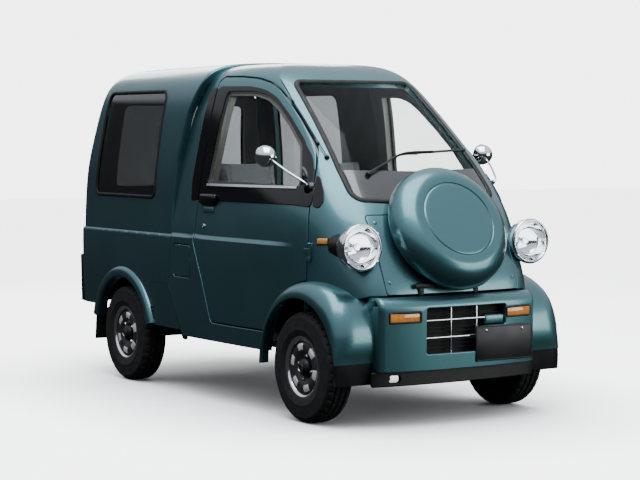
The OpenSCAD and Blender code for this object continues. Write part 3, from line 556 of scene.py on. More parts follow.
def bead(name, p, n, profile, mat, body="body", closed=True):
    """Sweeps a closed profile of (across, up) points along a path on a surface."""
    p, n = np.asarray(p, float), np.asarray(n, float)
    if closed:
        tan = unit(np.roll(p, -1, 0) - np.roll(p, 1, 0))
    else:
        tan = unit(np.gradient(p, axis=0))
    b = unit(np.cross(tan, n))
    prof = np.array(profile, float)
    m, k = len(p), len(prof)
    v = (p[:, None] + b[:, None] * prof[None, :, :1] + n[:, None] * prof[None, :, 1:]).reshape(-1, 3)
    faces = []
    for i in range(m if closed else m - 1):
        j = (i + 1) % m
        for a in range(k):
            c = (a + 1) % k
            faces.append((i * k + a, i * k + c, j * k + c, j * k + a))
    if not closed:
        faces += [tuple(range(k))[::-1], tuple((m - 1) * k + i for i in range(k))]
    return auto_smooth(fix_out(mesh(name, v, faces, mat, body)), 50)


def fix_out(ob):
    bm = bmesh.new()
    bm.from_mesh(ob.data)
    bmesh.ops.recalc_face_normals(bm, faces=bm.faces)
    bm.to_mesh(ob.data)
    bm.free()
    return ob


def oval(w, h, n=12):
    return [(w * math.cos(2 * math.pi * k / n), h * math.sin(2 * math.pi * k / n)) for k in range(n)]


def lathe(profile, at, axis, n=64):
    """Vertices and faces of a turned shape: profile of (radius, height along axis)."""
    axis = unit(axis)
    ref = np.array([0, 0, 1.0]) if abs(axis[2]) < 0.9 else np.array([1.0, 0, 0])
    u = unit(np.cross(ref, axis))
    w = np.cross(axis, u)
    ang = np.linspace(0, 2 * math.pi, n, endpoint=False)
    verts, rows = [], []
    for r, h in profile:
        if r < 1e-6:
            rows.append([len(verts)])
            verts.append(np.asarray(at, float) + axis * h)
        else:
            rows.append(list(range(len(verts), len(verts) + n)))
            verts += [np.asarray(at, float) + axis * h + (u * math.cos(a) + w * math.sin(a)) * r for a in ang]
    faces = []
    for i in range(len(rows)):
        a, b = rows[i], rows[(i + 1) % len(rows)]
        for k in range(n):
            m = (k + 1) % n
            if len(a) == 1 and len(b) == 1:
                continue
            if len(a) == 1:
                faces.append((a[0], b[m], b[k]))
            elif len(b) == 1:
                faces.append((a[k], a[m], b[0]))
            else:
                faces.append((a[k], a[m], b[m], b[k]))
    return verts, faces


def turned(name, profile, at, axis, mat, body="body", n=64, angle=40, replaces=()):
    v, f = lathe(profile, at, axis, n)
    return auto_smooth(fix_out(mesh(name, v, f, mat, body, replaces=replaces)), angle)


def smoothcurve(points, n=6):
    """Points on a curve through the given ones."""
    p = np.array(points, float)
    q = np.concatenate([2 * p[:1] - p[1:2], p, 2 * p[-1:] - p[-2:-1]])
    out = []
    for i in range(1, len(q) - 2):
        for k in range(n):
            t = k / n
            out.append(0.5 * ((2 * q[i]) + (q[i + 1] - q[i - 1]) * t +
                              (2 * q[i - 1] - 5 * q[i] + 4 * q[i + 1] - q[i + 2]) * t * t +
                              (-q[i - 1] + 3 * q[i] - 3 * q[i + 1] + q[i + 2]) * t ** 3))
    return np.array(out + [p[-1]])


def skin(count, m):
    """Faces between count rings of m points, with a cap at each end."""
    faces = [(i * m + k, i * m + (k + 1) % m, (i + 1) * m + (k + 1) % m, (i + 1) * m + k)
             for i in range(count - 1) for k in range(m)]
    return faces + [tuple(range(m))[::-1], tuple((count - 1) * m + k for k in range(m))]


def tube(name, points, r, mat, body="body", n=12):
    p = np.asarray(points, float)
    rr = np.broadcast_to(np.asarray(r, float), (len(p),))
    tan = unit(np.gradient(p, axis=0))
    ref = np.array([0, 0, 1.0]) if abs(tan[0] @ np.array([0, 0, 1.0])) < 0.9 else np.array([1.0, 0, 0])
    u = unit(np.cross(ref, tan[0]))
    verts = []
    for i in range(len(p)):
        u = unit(u - tan[i] * (u @ tan[i]))
        w = np.cross(tan[i], u)
        verts += [p[i] + rr[i] * (u * math.cos(2 * math.pi * k / n) + w * math.sin(2 * math.pi * k / n))
                  for k in range(n)]
    return auto_smooth(fix_out(mesh(name, verts, skin(len(p), n), mat, body)), 50)


# The cab's rows: height, nose y, corner x, corner setback, door front x, door front y, side x.
CAB = [
    (300, -1296, 462, 62, 582, -940, 616), (450, -1308, 462, 62, 586, -940, 622),
    (600, -1306, 462, 66, 588, -938, 622), (720, -1262, 459, 66, 588, -932, 622),
    (840, -1207, 455, 66, 584, -925, 620), (950, -1154, 450, 64, 575, -910, 604),
    (1042, -1073, 446, 62, 550, -892, 592), (1173, -950, 438, 60, 500, -835, 573),
    (1282, -832, 424, 56, 457, -742, 556), (1417, -674, 408, 52, 438, -590, 535),
    (1540, -518, 390, 48, 418, -440, 508), (1610, -424, 376, 46, 400, -345, 484),
    (1658, -350, 345, 44, 366, -260, 446), (1688, -280, 290, 40, 318, -180, 380),
    (1700, -190, 200, 30, 235, -80, 270), (1704, -60, 90, 20, 105, 20, 120),
    (1705, 0, 0, 10, 0, 40, 0)]
# The bed's and the load box's rows: height, side x, rear y.
BED = [(330, 606, 1448), (520, 620, 1452), (700, 622, 1456), (824, 620, 1458), (900, 612, 1460)]
BOX = [
    (700, 622, 1444), (824, 620, 1446), (900, 617.6, 1448), (1000, 613, 1446), (1150, 608, 1436),
    (1300, 589, 1422), (1450, 569, 1402), (1560, 546, 1374), (1630, 519, 1333), (1680, 464, 1268),
    (1704, 364, 1178), (1712, 224, 1068), (1715, 84, 968), (1715, 0, 888)]


def cab_row(r):
    z, nose, cx, back, dx, dy, side = r
    corner = nose + back
    return [(x, y, z) for x, y in (
        (0, nose), (cx * 0.5, nose + back * 0.08), (cx * 0.86, nose + back * 0.38), (cx, corner),
        (cx + (dx - cx) * 0.5, corner + (dy - nose - back) * 0.34), (dx, dy),
        ((dx + side * 2) / 3, (dy * 2 + 60) / 3 + 40), (side, 60), (side, 420))]


def box_row(r):
    z, x, y = r
    k = float(np.interp(z, [1150, 1480], [0, 1]))
    tight = [(0, y), (x * 0.5, y - 3), (x - 90, y - 7), (x - 26, y - 9), (x - 4, y - 12), (x - 1, y - 50),
             (x, y - 140), (x, y - 300), (x, 600), (x, 100)]
    soft = [(0, y), (x * 0.5, y - 4), (x * 0.84, y - 16), (x * 0.93, y - 28), (x * 0.975, y - 42),
            (x * 0.992, y - 84), (x * 0.997, y - 150), (x, y - 300), (x, 600), (x, 100)]
    return [(a + (c - a) * k, b + (d - b) * k, z) for (a, b), (c, d) in zip(tight, soft)]


def ease(t):
    t = np.clip(t, 0, 1)
    return t * t * (3 - 2 * t)


def belt(p):
    """The sides stand a little prouder below the belt line, fading out at the door's front."""
    side = np.abs(p[..., 0]) > 400
    return 9 * ease((p[..., 1] + 830) / 220) * np.clip((831 - p[..., 2]) / 19, 0, 1) * side


def ledge(p):
    return 9 * np.clip((826 - p[..., 2]) / 17, 0, 1)


cab = Net([cab_row(r) for r in CAB], 1, (130, 110), belt)
bed = Net([box_row(r) for r in BED], -1, (230, 110), ledge)
box = Net([box_row(r) for r in BOX], -1, (230, 110))

SEAM = [(215, 200), (251, 336), (376, 562), (355, 824), (350, 1000), (330, 1200), (265, 1450),
        (180, 1620), (150, 1700), (120, 1800)]
DOOR = fillet([
    (-905, 650), (-905, 840), (-886, 987), (-852, 1138), (-826, 1197), (-779, 1268), (-712, 1328),
    (-594, 1426), (-492, 1502), (-404, 1556), (-322, 1592), (-226, 1615), (-96, 1627), (60, 1631),
    (88, 1606), (102, 1150), (112, 840), (108, 800), (14, 610), (-72, 402), (-905, 402)],
    [60, 200, 300, 300, 260, 300, 300, 300, 300, 300, 300, 300, 300, 20, 20, 300, 40, 60, 300, 26, 26])
DOOR_GLASS = fillet([(34, 1090), (-24, 1556), (-250, 1551), (-352, 1528), (-440, 1484), (-571, 1390),
                     (-694, 1288), (-776, 1136), (-782, 1078)],
                    [30, 26, 200, 200, 300, 300, 60, 40, 18])
WINDSCREEN = fillet([(0, 1600), (340, 1600), (398, 1180), (404, 1036), (0, 1012), (-404, 1036),
                     (-398, 1180), (-340, 1600)], [0, 40, 120, 46, 0, 46, 120, 40])
NOSE = fillet([(-387, 964), (-375, 607), (375, 607), (387, 964)], 16)
SIDE_WINDOW = fillet([(1285, 1012), (1225, 1575), (535, 1570), (560, 1010)], 44)
TAILGATE = fillet([(-520, 690), (520, 690), (500, 1300), (455, 1588), (-455, 1588), (-500, 1300)],
                  [44, 44, 400, 40, 40, 400])
TAIL_GLASS = fillet([(-430, 1040), (430, 1040), (392, 1520), (-392, 1520)], 40)
SEAM_SV_CAB = cab.side(dense([p for p in SEAM if p[1] < 1705], 30, False))


def grown(loop, d):
    """A closed outline moved outwards by d along its own normals."""
    p = np.asarray(loop, float)
    a = area2(p)
    t = unit(np.roll(p, -1, 0) - np.roll(p, 1, 0))
    n = np.stack([t[:, 1], -t[:, 0]], 1) * (1 if a > 0 else -1)
    return p + n * d


def spread(net, sv, step=16.0):
    """Adds points along an outline in surface coordinates."""
    sv = np.asarray(sv, float)
    nxt = np.roll(sv, -1, 0)
    out = []
    for a, b in zip(sv, nxt):
        m = np.linspace(0, 1, 9)[:, None]
        q = a + (b - a) * m
        length = np.linalg.norm(np.diff(net.point(q[:, 0], q[:, 1]), axis=0), axis=1).sum()
        if length < 0.5:
            continue
        k = max(1, int(math.ceil(length / step)))
        out += [a + (b - a) * i / k for i in range(k)]
    return np.array(out)


def curve_v(net, z):
    return float(net.rows_at(z))


# Round the front wheel's axis: angle from the rear horizontal, outer radius of the wing.
WING = [(-4, 352), (14, 352), (28, 354), (44, 364), (66, 382), (90, 398), (112, 419), (132, 430),
        (150, 402), (163, 372), (170, 352), (180, 338), (192, 330)]


def wing_r(a):
    t = smoothcurve(WING, 8)
    return np.interp(a, t[:, 0], t[:, 1])


def wheel_xy(a, r, centre):
    return centre + r * math.cos(math.radians(a)), AXLE_Z + r * math.sin(math.radians(a))


# -------------------------------------------------------------- the cab skin

LAMP = np.array([485.0, -1224.0, 825.0])
BOWL = ([-60, 8, 34, 66, 92, 96, 190], [105, 105, 103, 92, 70, 56, 55])


def lamp_hole(sign):
    """Where the skin ends inside a headlight's bowl."""
    out = []
    for f in np.linspace(0, 2 * math.pi, 40, endpoint=False):
        rho = np.arange(4.0, 100.0, 1.5)
        xz = np.stack([LAMP[0] + rho * math.cos(f), LAMP[2] + rho * math.sin(f)], 1)
        sv = cab.face(xz)
        depth = cab.raw(sv[:, 0], sv[:, 1])[:, 1] - LAMP[1]
        ok = rho < np.interp(depth, *BOWL) - 9
        n = len(ok) if ok.all() else int(np.argmin(ok))
        out.append(sv[max(n - 1, 1)])
    sv = np.array(out)
    return sv if sign > 0 else flip(sv)


def cab_outline():
    bottom = cab.face(dense([(0, 604), (440, 604)], 20, False))
    ring = [wheel_xy(a, wing_r(a) - 16, FRONT) for a in range(128, -3, -4)]
    ring = cab.side([p for p in ring if p[1] > 306])
    sill = cab.side(dense([(-588, 304), (236, 304)], 24, False))
    seam = np.array([p for p in SEAM_SV_CAB if p[1] > curve_v(cab, 310)])
    top = np.array([[float(cab.side([(158, 1704.9)])[0][0]), cab.nv]])
    half = np.concatenate([bottom, ring, sill, seam, top])
    return spread(cab, np.concatenate([half, (half * (-1, 1))[::-1][:-1]]))


BELT_V = [curve_v(cab, z) for z in (806, 811, 813, 817, 824, 829, 831, 836)]
CORNER_S = np.arange(2, 5.01, 0.125)
top_edge = lambda net: (lambda sv: sv[:, 1] > net.nv - 1e-6)


def door_cut(grow):
    """The door's outline ends at the wing, grown by a gap."""
    loop = grown(DOOR, grow)
    out = []
    for y, z in dense(loop, 12):
        r = math.hypot(y - FRONT, z - AXLE_Z)
        a = math.degrees(math.atan2(z - AXLE_Z, y - FRONT))
        need = wing_r(np.clip(a, -4, 190)) + 6 - grow
        if r < need and a > -60:
            y, z = wheel_xy(a, need, FRONT)
        out.append((y, z))
    out = np.array(out)
    keep = np.linalg.norm(out - np.roll(out, 1, 0), axis=1) > 1.5
    return out[keep]


FUEL = fillet([(146, 612), (316, 612), (316, 774), (146, 774)], 14)
panel("cab_skin", cab, cab_outline(),
      holes=[cab.side(door_cut(6)), flip(cab.side(door_cut(6))), flip(cab.side(dense(grown(FUEL, 4), 12))),
             cab.face(dense(WINDSCREEN, 14)), cab.face(dense(grown(NOSE, 1.2), 14)),
             lamp_hole(1), lamp_hole(-1)],
      t=34, r=3, hole_r=4, mats=[PAINT, UNDER], replaces=("cab_shell",), lines_v=BELT_V,
      lines_s=np.concatenate([CORNER_S, -CORNER_S]), joined=top_edge(cab))
panel("nose_panel", cab, cab.face(dense(NOSE, 14)), t=16, r=3, mats=[PAINT, UNDER],
      replaces=("nose_panel",))

for side, sign in SIDES:
    turn = (lambda sv: sv) if sign > 0 else flip
    dbody = "door_" + side
    panel("door_%s_skin" % side, cab, turn(cab.side(door_cut(0))),
          holes=[turn(cab.side(dense(DOOR_GLASS, 14)))], t=52, r=4, mats=[PAINT, TRIM], body=dbody,
          replaces=("door_" + side,), lines_v=BELT_V)

# ------------------------------------------------------------- bed and box


def bed_outline():
    hole = [(0, 684), (482, 684)] + arc(482, 728, 44, -90, 0, 8) + [(523, 824)]
    rear = bed.face(dense(hole, 16, False))
    seam = bed.side(dense([(356, 824), (377, 562), (252, 336), (249, 331)], 20, False))
    y0 = REAR - math.sqrt(310 ** 2 - (331 - AXLE_Z) ** 2)
    arch = [(249, 331), (y0, 331)] + [wheel_xy(a, 310, REAR) for a in range(164, 15, -4)] + \
        [(2 * REAR - y0, 331), (1236, 331), (1236, 394), (1330, 394)]
    low = bed.side(dense(arch, 20, False))
    back = bed.face(dense([(590, 394), (0, 394)], 20, False))
    half = np.concatenate([rear, seam, low, back])
    return spread(bed, np.concatenate([half, (half * (-1, 1))[::-1][1:-1]]))


panel("bed_skin", bed, bed_outline(), t=34, r=2, mats=[PAINT, UNDER], replaces=("bed_sides",),
      lines_v=[curve_v(bed, z) for z in (803, 808, 810, 816)])


def box_outline():
    hole = grown(TAILGATE, 6)
    hole = hole[(hole[:, 0] >= 0) & (hole[:, 1] > 830)]
    hole = hole[np.argsort(-hole[:, 1] + hole[:, 0] * 0.001)]
    rear = box.face(dense([(0, 1594)] + [tuple(p) for p in hole] + [(523, 812)], 16, False))
    seam = [(356.6, 812), (355.6, 826)] + [(y + 0.6, z) for y, z in SEAM if 824 < z < 1715]
    seam = box.side(dense(seam, 24, False))
    top = np.array([[float(box.side([(147, 1714.5)])[0][0]), box.nv]])
    half = np.concatenate([rear, seam, top])
    return spread(box, np.concatenate([half, (half * (-1, 1))[::-1][:-1]]))


panel("box_skin", box, box_outline(), holes=[box.side(dense(SIDE_WINDOW, 14)),
                                             flip(box.side(dense(SIDE_WINDOW, 14)))],
      t=36, r=13, hole_r=5, mats=[PAINT, UNDER], replaces=("box_shell",), joined=top_edge(box))
panel("tailgate_skin", box, box.face(dense(TAILGATE, 14)), holes=[box.face(dense(TAIL_GLASS, 14))],
      t=36, r=5, mats=[PAINT, TRIM], body="tailgate", replaces=("tailgate",))
panel("tailgate_pane", box, box.face(dense(grown(TAIL_GLASS, 4), 14)), t=5, r=1, out=-5,
      mats=[DARK_GLASS], body="tailgate", replaces=("tailgate_glass",))
for side, sign in SIDES:
    turn = (lambda sv: sv) if sign > 0 else flip
    panel("side_window_" + side, box, turn(box.side(dense(grown(SIDE_WINDOW, 4), 14))), t=5, r=1, out=-4,
          mats=[DARK_GLASS], replaces=("side_windows",))
    p, n = path_on(box, turn(box.side(dense(SIDE_WINDOW, 14))), 0)
    bead("side_window_seal_" + side, p, n, oval(10, 5.5, 12), RUBBER)
p, n = path_on(box, box.face(dense(TAIL_GLASS, 14)), 0)
bead("tailgate_seal", p, n, oval(10, 5.5, 12), RUBBER, body="tailgate")

# ---------------------------------------------------------------- windscreen

panel("windscreen_pane", cab, cab.face(dense(grown(WINDSCREEN, 4), 14)), t=5, r=1, out=-5,
      mats=[GLASS], replaces=("windscreen",))
low = fillet([(-380, 1172), (-388, 1048), (-360, 1036), (0, 1024), (360, 1036), (388, 1048),
              (380, 1172), (0, 1164)], [4, 30, 20, 0, 20, 30, 4, 0])
panel("windscreen_band", cab, cab.face(dense(low, 14)), t=1.5, r=0.4, out=-2.2, mats=[BAND])
p, n = path_on(cab, cab.face(dense(WINDSCREEN, 12)), 0)
bead("windscreen_seal", p, n, [(-15, -2), (-13, 3), (-6, 6.5), (2, 6.5), (9, 4), (13, -1), (10, -5),
                               (-10, -6)], RUBBER)

# ----------------------------------------------------------- door furniture

GARNISH = fillet([(66, 1006), (102, 1008), (97, 1110), (72, 1568), (52, 1584), (-202, 1578),
                  (-310, 1560), (-414, 1520), (-545, 1432), (-697, 1314), (-722, 1288), (-790, 1234),
                  (-840, 1168), (-886, 1066), (-896, 1016), (-884, 998), (-760, 1006)],
                 [0, 16, 200, 20, 20, 300, 300, 300, 300, 60, 60, 200, 200, 120, 20, 20, 300])
POST = fillet([(109, 1008), (176, 1003), (189, 1107), (142, 1562), (118, 1576), (84, 1578), (94, 1300)],
              [6, 12, 200, 20, 20, 6, 300])
TIP = fillet([(-908, 1002), (-943, 994), (-956, 1025), (-938, 1066), (-890, 1130), (-862, 1152),
              (-882, 1070)], [4, 14, 40, 60, 60, 6, 100])
for side, sign in SIDES:
    turn = (lambda sv: sv) if sign > 0 else flip
    dbody = "door_" + side
    glass = turn(cab.side(dense(DOOR_GLASS, 14)))
    panel("garnish_" + side, cab, turn(cab.side(dense(GARNISH, 14))), holes=[glass], t=6, r=2.5, out=4.5,
          mats=[GLOSS_BLACK], body=dbody)
    panel("garnish_post_" + side, cab, turn(cab.side(dense(POST, 12))), t=6, r=2.5, out=4.5,
          mats=[GLOSS_BLACK])
    panel("garnish_tip_" + side, cab, turn(cab.side(dense(TIP, 10))), t=6, r=2.5, out=4.5,
          mats=[GLOSS_BLACK])
    panel("door_pane_" + side, cab, turn(cab.side(dense(grown(DOOR_GLASS, 4), 14))), t=4.5, r=1, out=-20,
          mats=[GLASS], body=dbody, replaces=("door_glass_" + side,))
    inner = grown(DOOR_GLASS, -9)
    p, n = path_on(cab, turn(cab.side(dense(inner, 12))), -13)
    bead("door_glass_frame_" + side, p, n, [(-10, 8), (8, 6), (10, -6), (-10, -6)], SATIN, body=dbody)
    p, n = path_on(cab, turn(cab.side(dense(grown(DOOR_GLASS, -3), 12))), -27)
    bead("door_glass_liner_" + side, p, n, [(-2.5, 26), (2.5, 26), (2.5, -28), (-2.5, -28)], SATIN,
         body=dbody)
    strip = [(y, 1086) for y in np.linspace(24, -772, 40)]
    p, n = path_on(cab, turn(cab.side(strip)) if sign > 0 else cab.side(strip) * (-1, 1), 6)
    bead("door_glass_sill_" + side, p, n, [(-7, 0), (-6, 5), (6, 6), (8, 0), (6, -5), (-6, -5)], BRIGHT,
         body=dbody, closed=False)

# --------------------------------------------------------------- the wings


def wing(name, sign, a0, a1, mat, lip=True, replaces=(), grow=0.0):
    """The wing over a front wheel between two angles, from the body out to a rolled lip."""
    rows, angles = [], np.arange(a0, a1 + 0.01, 3.0)
    for a in angles:
        r = float(wing_r(a)) + grow
        x0 = float(np.interp(a, [-4, 60, 96, 126], [600, 590, 560, 447.5]))
        side = 647.0 + grow
        wide = float(np.interp(a, [0, 40, 90, 120, 150, 192], [30, 36, 60, 92, 110, 100]))
        lip_r = 322 + 34
        tall = max(min(float(np.interp(a, [0, 40, 90, 120, 150, 192], [30, 40, 66, 84, 60, 30])),
                       r - 330), 16)
        sec = [(x0, r)]
        for k in range(1, 7):
            sec.append((x0 + (side - wide - x0) * k / 6, r))
        for k in range(1, 9):
            f = math.pi / 2 * k / 8
            sec.append((side - wide + wide * math.sin(f), r - tall * (1 - math.cos(f))))
        edge = r - tall
        if edge > lip_r + 6 and lip:
            sec += [(side - 0.5, lip_r + 5), (side - 3, lip_r + 1.5), (side - 3, lip_r - 1),
                    (side, lip_r - 4), (side + 0.4, lip_r - 14)]
        else:
            m = min(edge, lip_r)
            sec += [(side, m - (m - 330) * 0.3 - 0.1), (side, m - (m - 330) * 0.5 - 0.2),
                    (side, m - (m - 330) * 0.65 - 0.3), (side, m - (m - 330) * 0.8 - 0.4),
                    (side, m - (m - 330) * 0.9 - 0.5)]
        sec += [(side, 328), (side - 1.5, 324), (side - 5, 322), (side - 14, 322)]
        inner = r - 26
        sec += [(side - 30, max(323, inner - tall * 0.5)), (side - wide, max(324, inner)),
                (x0, max(324, inner))]
        rows.append((a, sec))
    m = len(rows[0][1])
    verts = []
    for a, sec in rows:
        for x, r in sec:
            y, z = wheel_xy(a, r, FRONT)
            verts.append((sign * x, y, z))
    ob = mesh(name, verts, skin(len(rows), m), mat, "body", replaces=replaces)
    return auto_smooth(fix_out(ob), 42)


for side, sign in SIDES:
    wing("wing_" + side, sign, -1.6, 173, PAINT, replaces=("front_fenders",))
    wing("wing_foot_" + side, sign, 171.6, 192.2, BLACK, lip=False, grow=-2)

    turn = (lambda sv: sv) if sign > 0 else flip
    p, n = path_on(cab, turn(SEAM_SV_CAB), -13)
    bead("seam_liner_" + side, p, n, [(-16, 5), (16, 5), (16, -8), (-16, -8)], RUBBER, closed=False)
    edge = bed.side(dense([(359.5, 806), (380.5, 562), (255.5, 338)], 20, False))
    p, n = path_on(bed, turn(edge), -1)
    bead("bed_edge_" + side, p, n, oval(4, 3, 12), PAINT, closed=False)

    # the rear wheel's flared lip
    prof = [(596, 368), (620, 368), (632, 365), (641, 358), (645.5, 348), (647, 338), (647, 322),
            (646, 314), (642, 309), (634, 307), (596, 307)]
    rows = []
    for a in np.arange(13.5, 166.6, 3.0):
        for x, r in prof:
            y, z = wheel_xy(a, r, REAR)
            rows.append((sign * x, y, z))
    faces = skin(len(rows) // len(prof), len(prof))
    auto_smooth(fix_out(mesh("rear_flare_" + side, rows, faces, PAINT, "body")), 42)

# ------------------------------------------------------------- the bumper


def bumper_face(s, v):
    s, v = np.broadcast_arrays(np.asarray(s, float), np.asarray(v, float))
    x, w = s * 100, v * 100
    ax = np.abs(x)
    corner = 26 - np.sqrt(np.maximum(26 ** 2 - np.clip(ax - 420, 0, 25.9) ** 2, 0))
    base = -1364 + 46 * (ax / 446) ** 2.3 + corner
    rad = 56.0
    h = 598 - 262 - rad
    q = np.clip((w - h) / rad, 0, math.pi / 2)
    flat = np.maximum(w - h - rad * math.pi / 2, 0)
    y = base + rad * (1 - np.cos(q)) + flat - 3 * np.clip((w - 0) / h, 0, 1)
    z = 262 + np.minimum(w, h) + rad * np.sin(q)
    return np.stack([x, y, z], -1)


bumper = Wrap(bumper_face, 1)
end = 2.80 + 0.56 * math.pi / 2 + 0.5
outer = dense([(-4.455, 0.004), (4.455, 0.004), (4.455, end), (-4.455, end)], 0.16)
bz = lambda pts, r: dense(fillet([(x / 100, (z - 262) / 100) for x, z in pts], r / 100), 0.14)
opening = bz([(-213, 337), (100, 337), (100, 452), (238, 452), (238, 547), (-213, 547)], 10)
blocks = [bz([(a, 484), (b, 484), (b, 532), (a, 532)], 8) for a, b in ((-402, -244), (246, 402))]
panel("bumper_skin", bumper, outer, holes=[opening, *blocks], t=22, r=3, hole_r=5, grid=(0.3, 0.16),
      mats=[PAINT, UNDER], replaces=("front_bumper",))


def block(name, lo, hi, r, mat, body="body", n=3, taper=None, replaces=(), place=None):
    """A box with every edge rounded, as a closed mesh."""
    bm = bmesh.new()
    bmesh.ops.create_cube(bm, size=1)
    lo, hi = np.array(lo, float), np.array(hi, float)
    for v in bm.verts:
        c = np.array(v.co) + 0.5
        v.co = Vector(lo + (hi - lo) * c)
    bmesh.ops.bevel(bm, geom=list(bm.edges), offset=r, segments=n, profile=0.5, affect="EDGES")
    if taper:
        for v in bm.verts:
            v.co = Vector(taper(np.array(v.co)))
    if place is not None:
        bm.transform(place)
    verts = [np.array(v.co) for v in bm.verts]
    bm.verts.index_update()
    faces = [[v.index for v in f.verts] for f in bm.faces]
    bm.free()
    ob = mesh(name, verts, faces, mat, body, replaces=replaces)
    return auto_smooth(ob, 40)


for side, sign in SIDES:
    lo, hi = sorted((sign * 428, sign * 446))
    block("bumper_end_" + side, (lo, -1300, 263), (hi, -1222, 560), 5, PAINT)
    lo, hi = sorted((sign * 380, sign * 447))
    block("bumper_shoulder_" + side, (lo, -1270, 530), (hi, -1190, 596), 12, PAINT, n=4)
block("grille_back", (-230, -1306, 300), (256, -1296, 556), 3, LINER)
for i, z in enumerate((356, 374, 392, 430, 448, 466, 506, 526)):
    block("grille_slat_%d" % i, (-226, -1318, z - 2), (250, -1304, z + 2), 1.2, LINER)
for i, z in enumerate((488, 408)):
    block("grille_bar_%d" % i, (-220, -1346, z - 4.5), (244 if i == 0 else 106, -1332, z + 4.5), 3.5, BRIGHT,
          replaces=("front_grille",))
for i, x in enumerate((-63, 83)):
    block("grille_post_%d" % i, (x - 4, -1338, 332), (x + 4, -1322, 552), 3, BRIGHT)
block("grille_block", (122, -1350, 456), (232, -1318, 500), 8, PAINT)

for side, sign in SIDES:
    lo, hi = sorted((sign * 247, sign * 399))
    bend = lambda p: np.array([p[0], p[1] + 34 * (abs(p[0]) / 446) ** 2.3 - 6, p[2]])
    block("turn_lamp_" + side, (lo, -1356, 487), (hi, -1336, 529), 6, AMBER, taper=bend,
          replaces=("signal_lamps",))
    p = [(sign * x, float(bumper_face(x / 100, (z - 262) / 100)[1]), z)
         for x, z in dense(fillet([(245, 485), (401, 485), (401, 531), (245, 531)], 8), 10)]
    bead("turn_lamp_surround_" + side, p, [(0, -1, 0)] * len(p), oval(5, 4, 10), BLACK)

# ---------------------------------------------------------------- valance


def valance_face(s, v):
    s, v = np.broadcast_arrays(np.asarray(s, float), np.asarray(v, float))
    x = s * 100
    ax = np.abs(x)
    y = -1318 + 40 * (ax / 470) ** 2.4
    q = np.clip((ax - 440) / 60, 0, 1)
    return np.stack([x, np.minimum(y, -1272 + 0 * x) + 14 * (q * q * (3 - 2 * q)), 190 + v * 100], -1)


valance = Wrap(valance_face, 1)
edge = dense(fillet([(-4.66, 0.02), (4.66, 0.02), (4.66, 0.71), (-4.66, 0.71)], 0.1), 0.16)
hole = dense(fillet([(-3.79, 0.19), (-3.21, 0.19), (-3.21, 0.53), (-3.79, 0.53)], 0.14), 0.08)
panel("valance_skin", valance, edge, holes=[hole], t=24, r=6, hole_r=3, grid=(0.3, 0.16), mats=[BLACK],
      replaces=("front_valance",))

# ------------------------------------------------------------- spare cover

TILT = math.radians(29)
COVER_AXIS = np.array([0, -math.cos(TILT), math.sin(TILT)])
COVER_C = np.array([0.0, -1470.5 - MID_Y + 264.0, 892.0])
co = 309.0
reach = max(h * math.cos(TILT) + r * math.sin(TILT) for r, h in (
    (co, 4), (co - 4, 40), (co - 12, 60), (co - 24, 78), (co - 40, 94), (co - 58, 106), (co - 78, 115)))
COVER_C[1] = CAD_BOX[0][1] * 1000 - MID_Y + reach
torus = smoothcurve([(co - 2, -5), (co, 6), (co - 1.5, 24), (co - 5, 42), (co - 12, 60), (co - 24, 78),
                     (co - 40, 94), (co - 58, 106), (co - 78, 115), (co - 97, 118), (co - 114, 118)], 4)
prof = [(0, -24), (co - 24, -24), (co - 12, -16), (co - 9, -9), (co - 9, -6.5), (co - 3, -6.5)] + \
    [tuple(p) for p in torus] + [(co - 119, 117), (co - 122, 113.5), (co - 125, 113.5), (co - 128, 116.5),
                                 (co - 133, 118), (co - 150, 118.5), (150, 118.8), (70, 118.8), (0, 118.8)]
prof = [(max(r, 0), h) for r, h in prof]
turned("cover_skin", prof, COVER_C, COVER_AXIS, PAINT, n=128, angle=38,
       replaces=("spare_wheel_cover",))
up = np.cross(COVER_AXIS, (1, 0, 0))
up = up if up[2] > 0 else -up


def on_cover(ang, r, h):
    a = math.radians(ang)
    return COVER_C + COVER_AXIS * h + (np.array([1.0, 0, 0]) * math.cos(a) + up * math.sin(a)) * r


ring = np.array([on_cover(a, co - 8, -8) for a in np.linspace(0, 360, 120, endpoint=False)])
bead("cover_gasket", ring, [COVER_AXIS] * len(ring), oval(5, 4, 8), RUBBER)
block("cover_bracket", (-240, -1302, 634), (150, -1284, 656), 5, BLACK)
for i, x in enumerate((-200, 110)):
    block("cover_bracket_foot_%d" % i, (x - 14, -1296, 600), (x + 14, -1280, 660), 4, BLACK)

# -------------------------------------------------------------- headlights

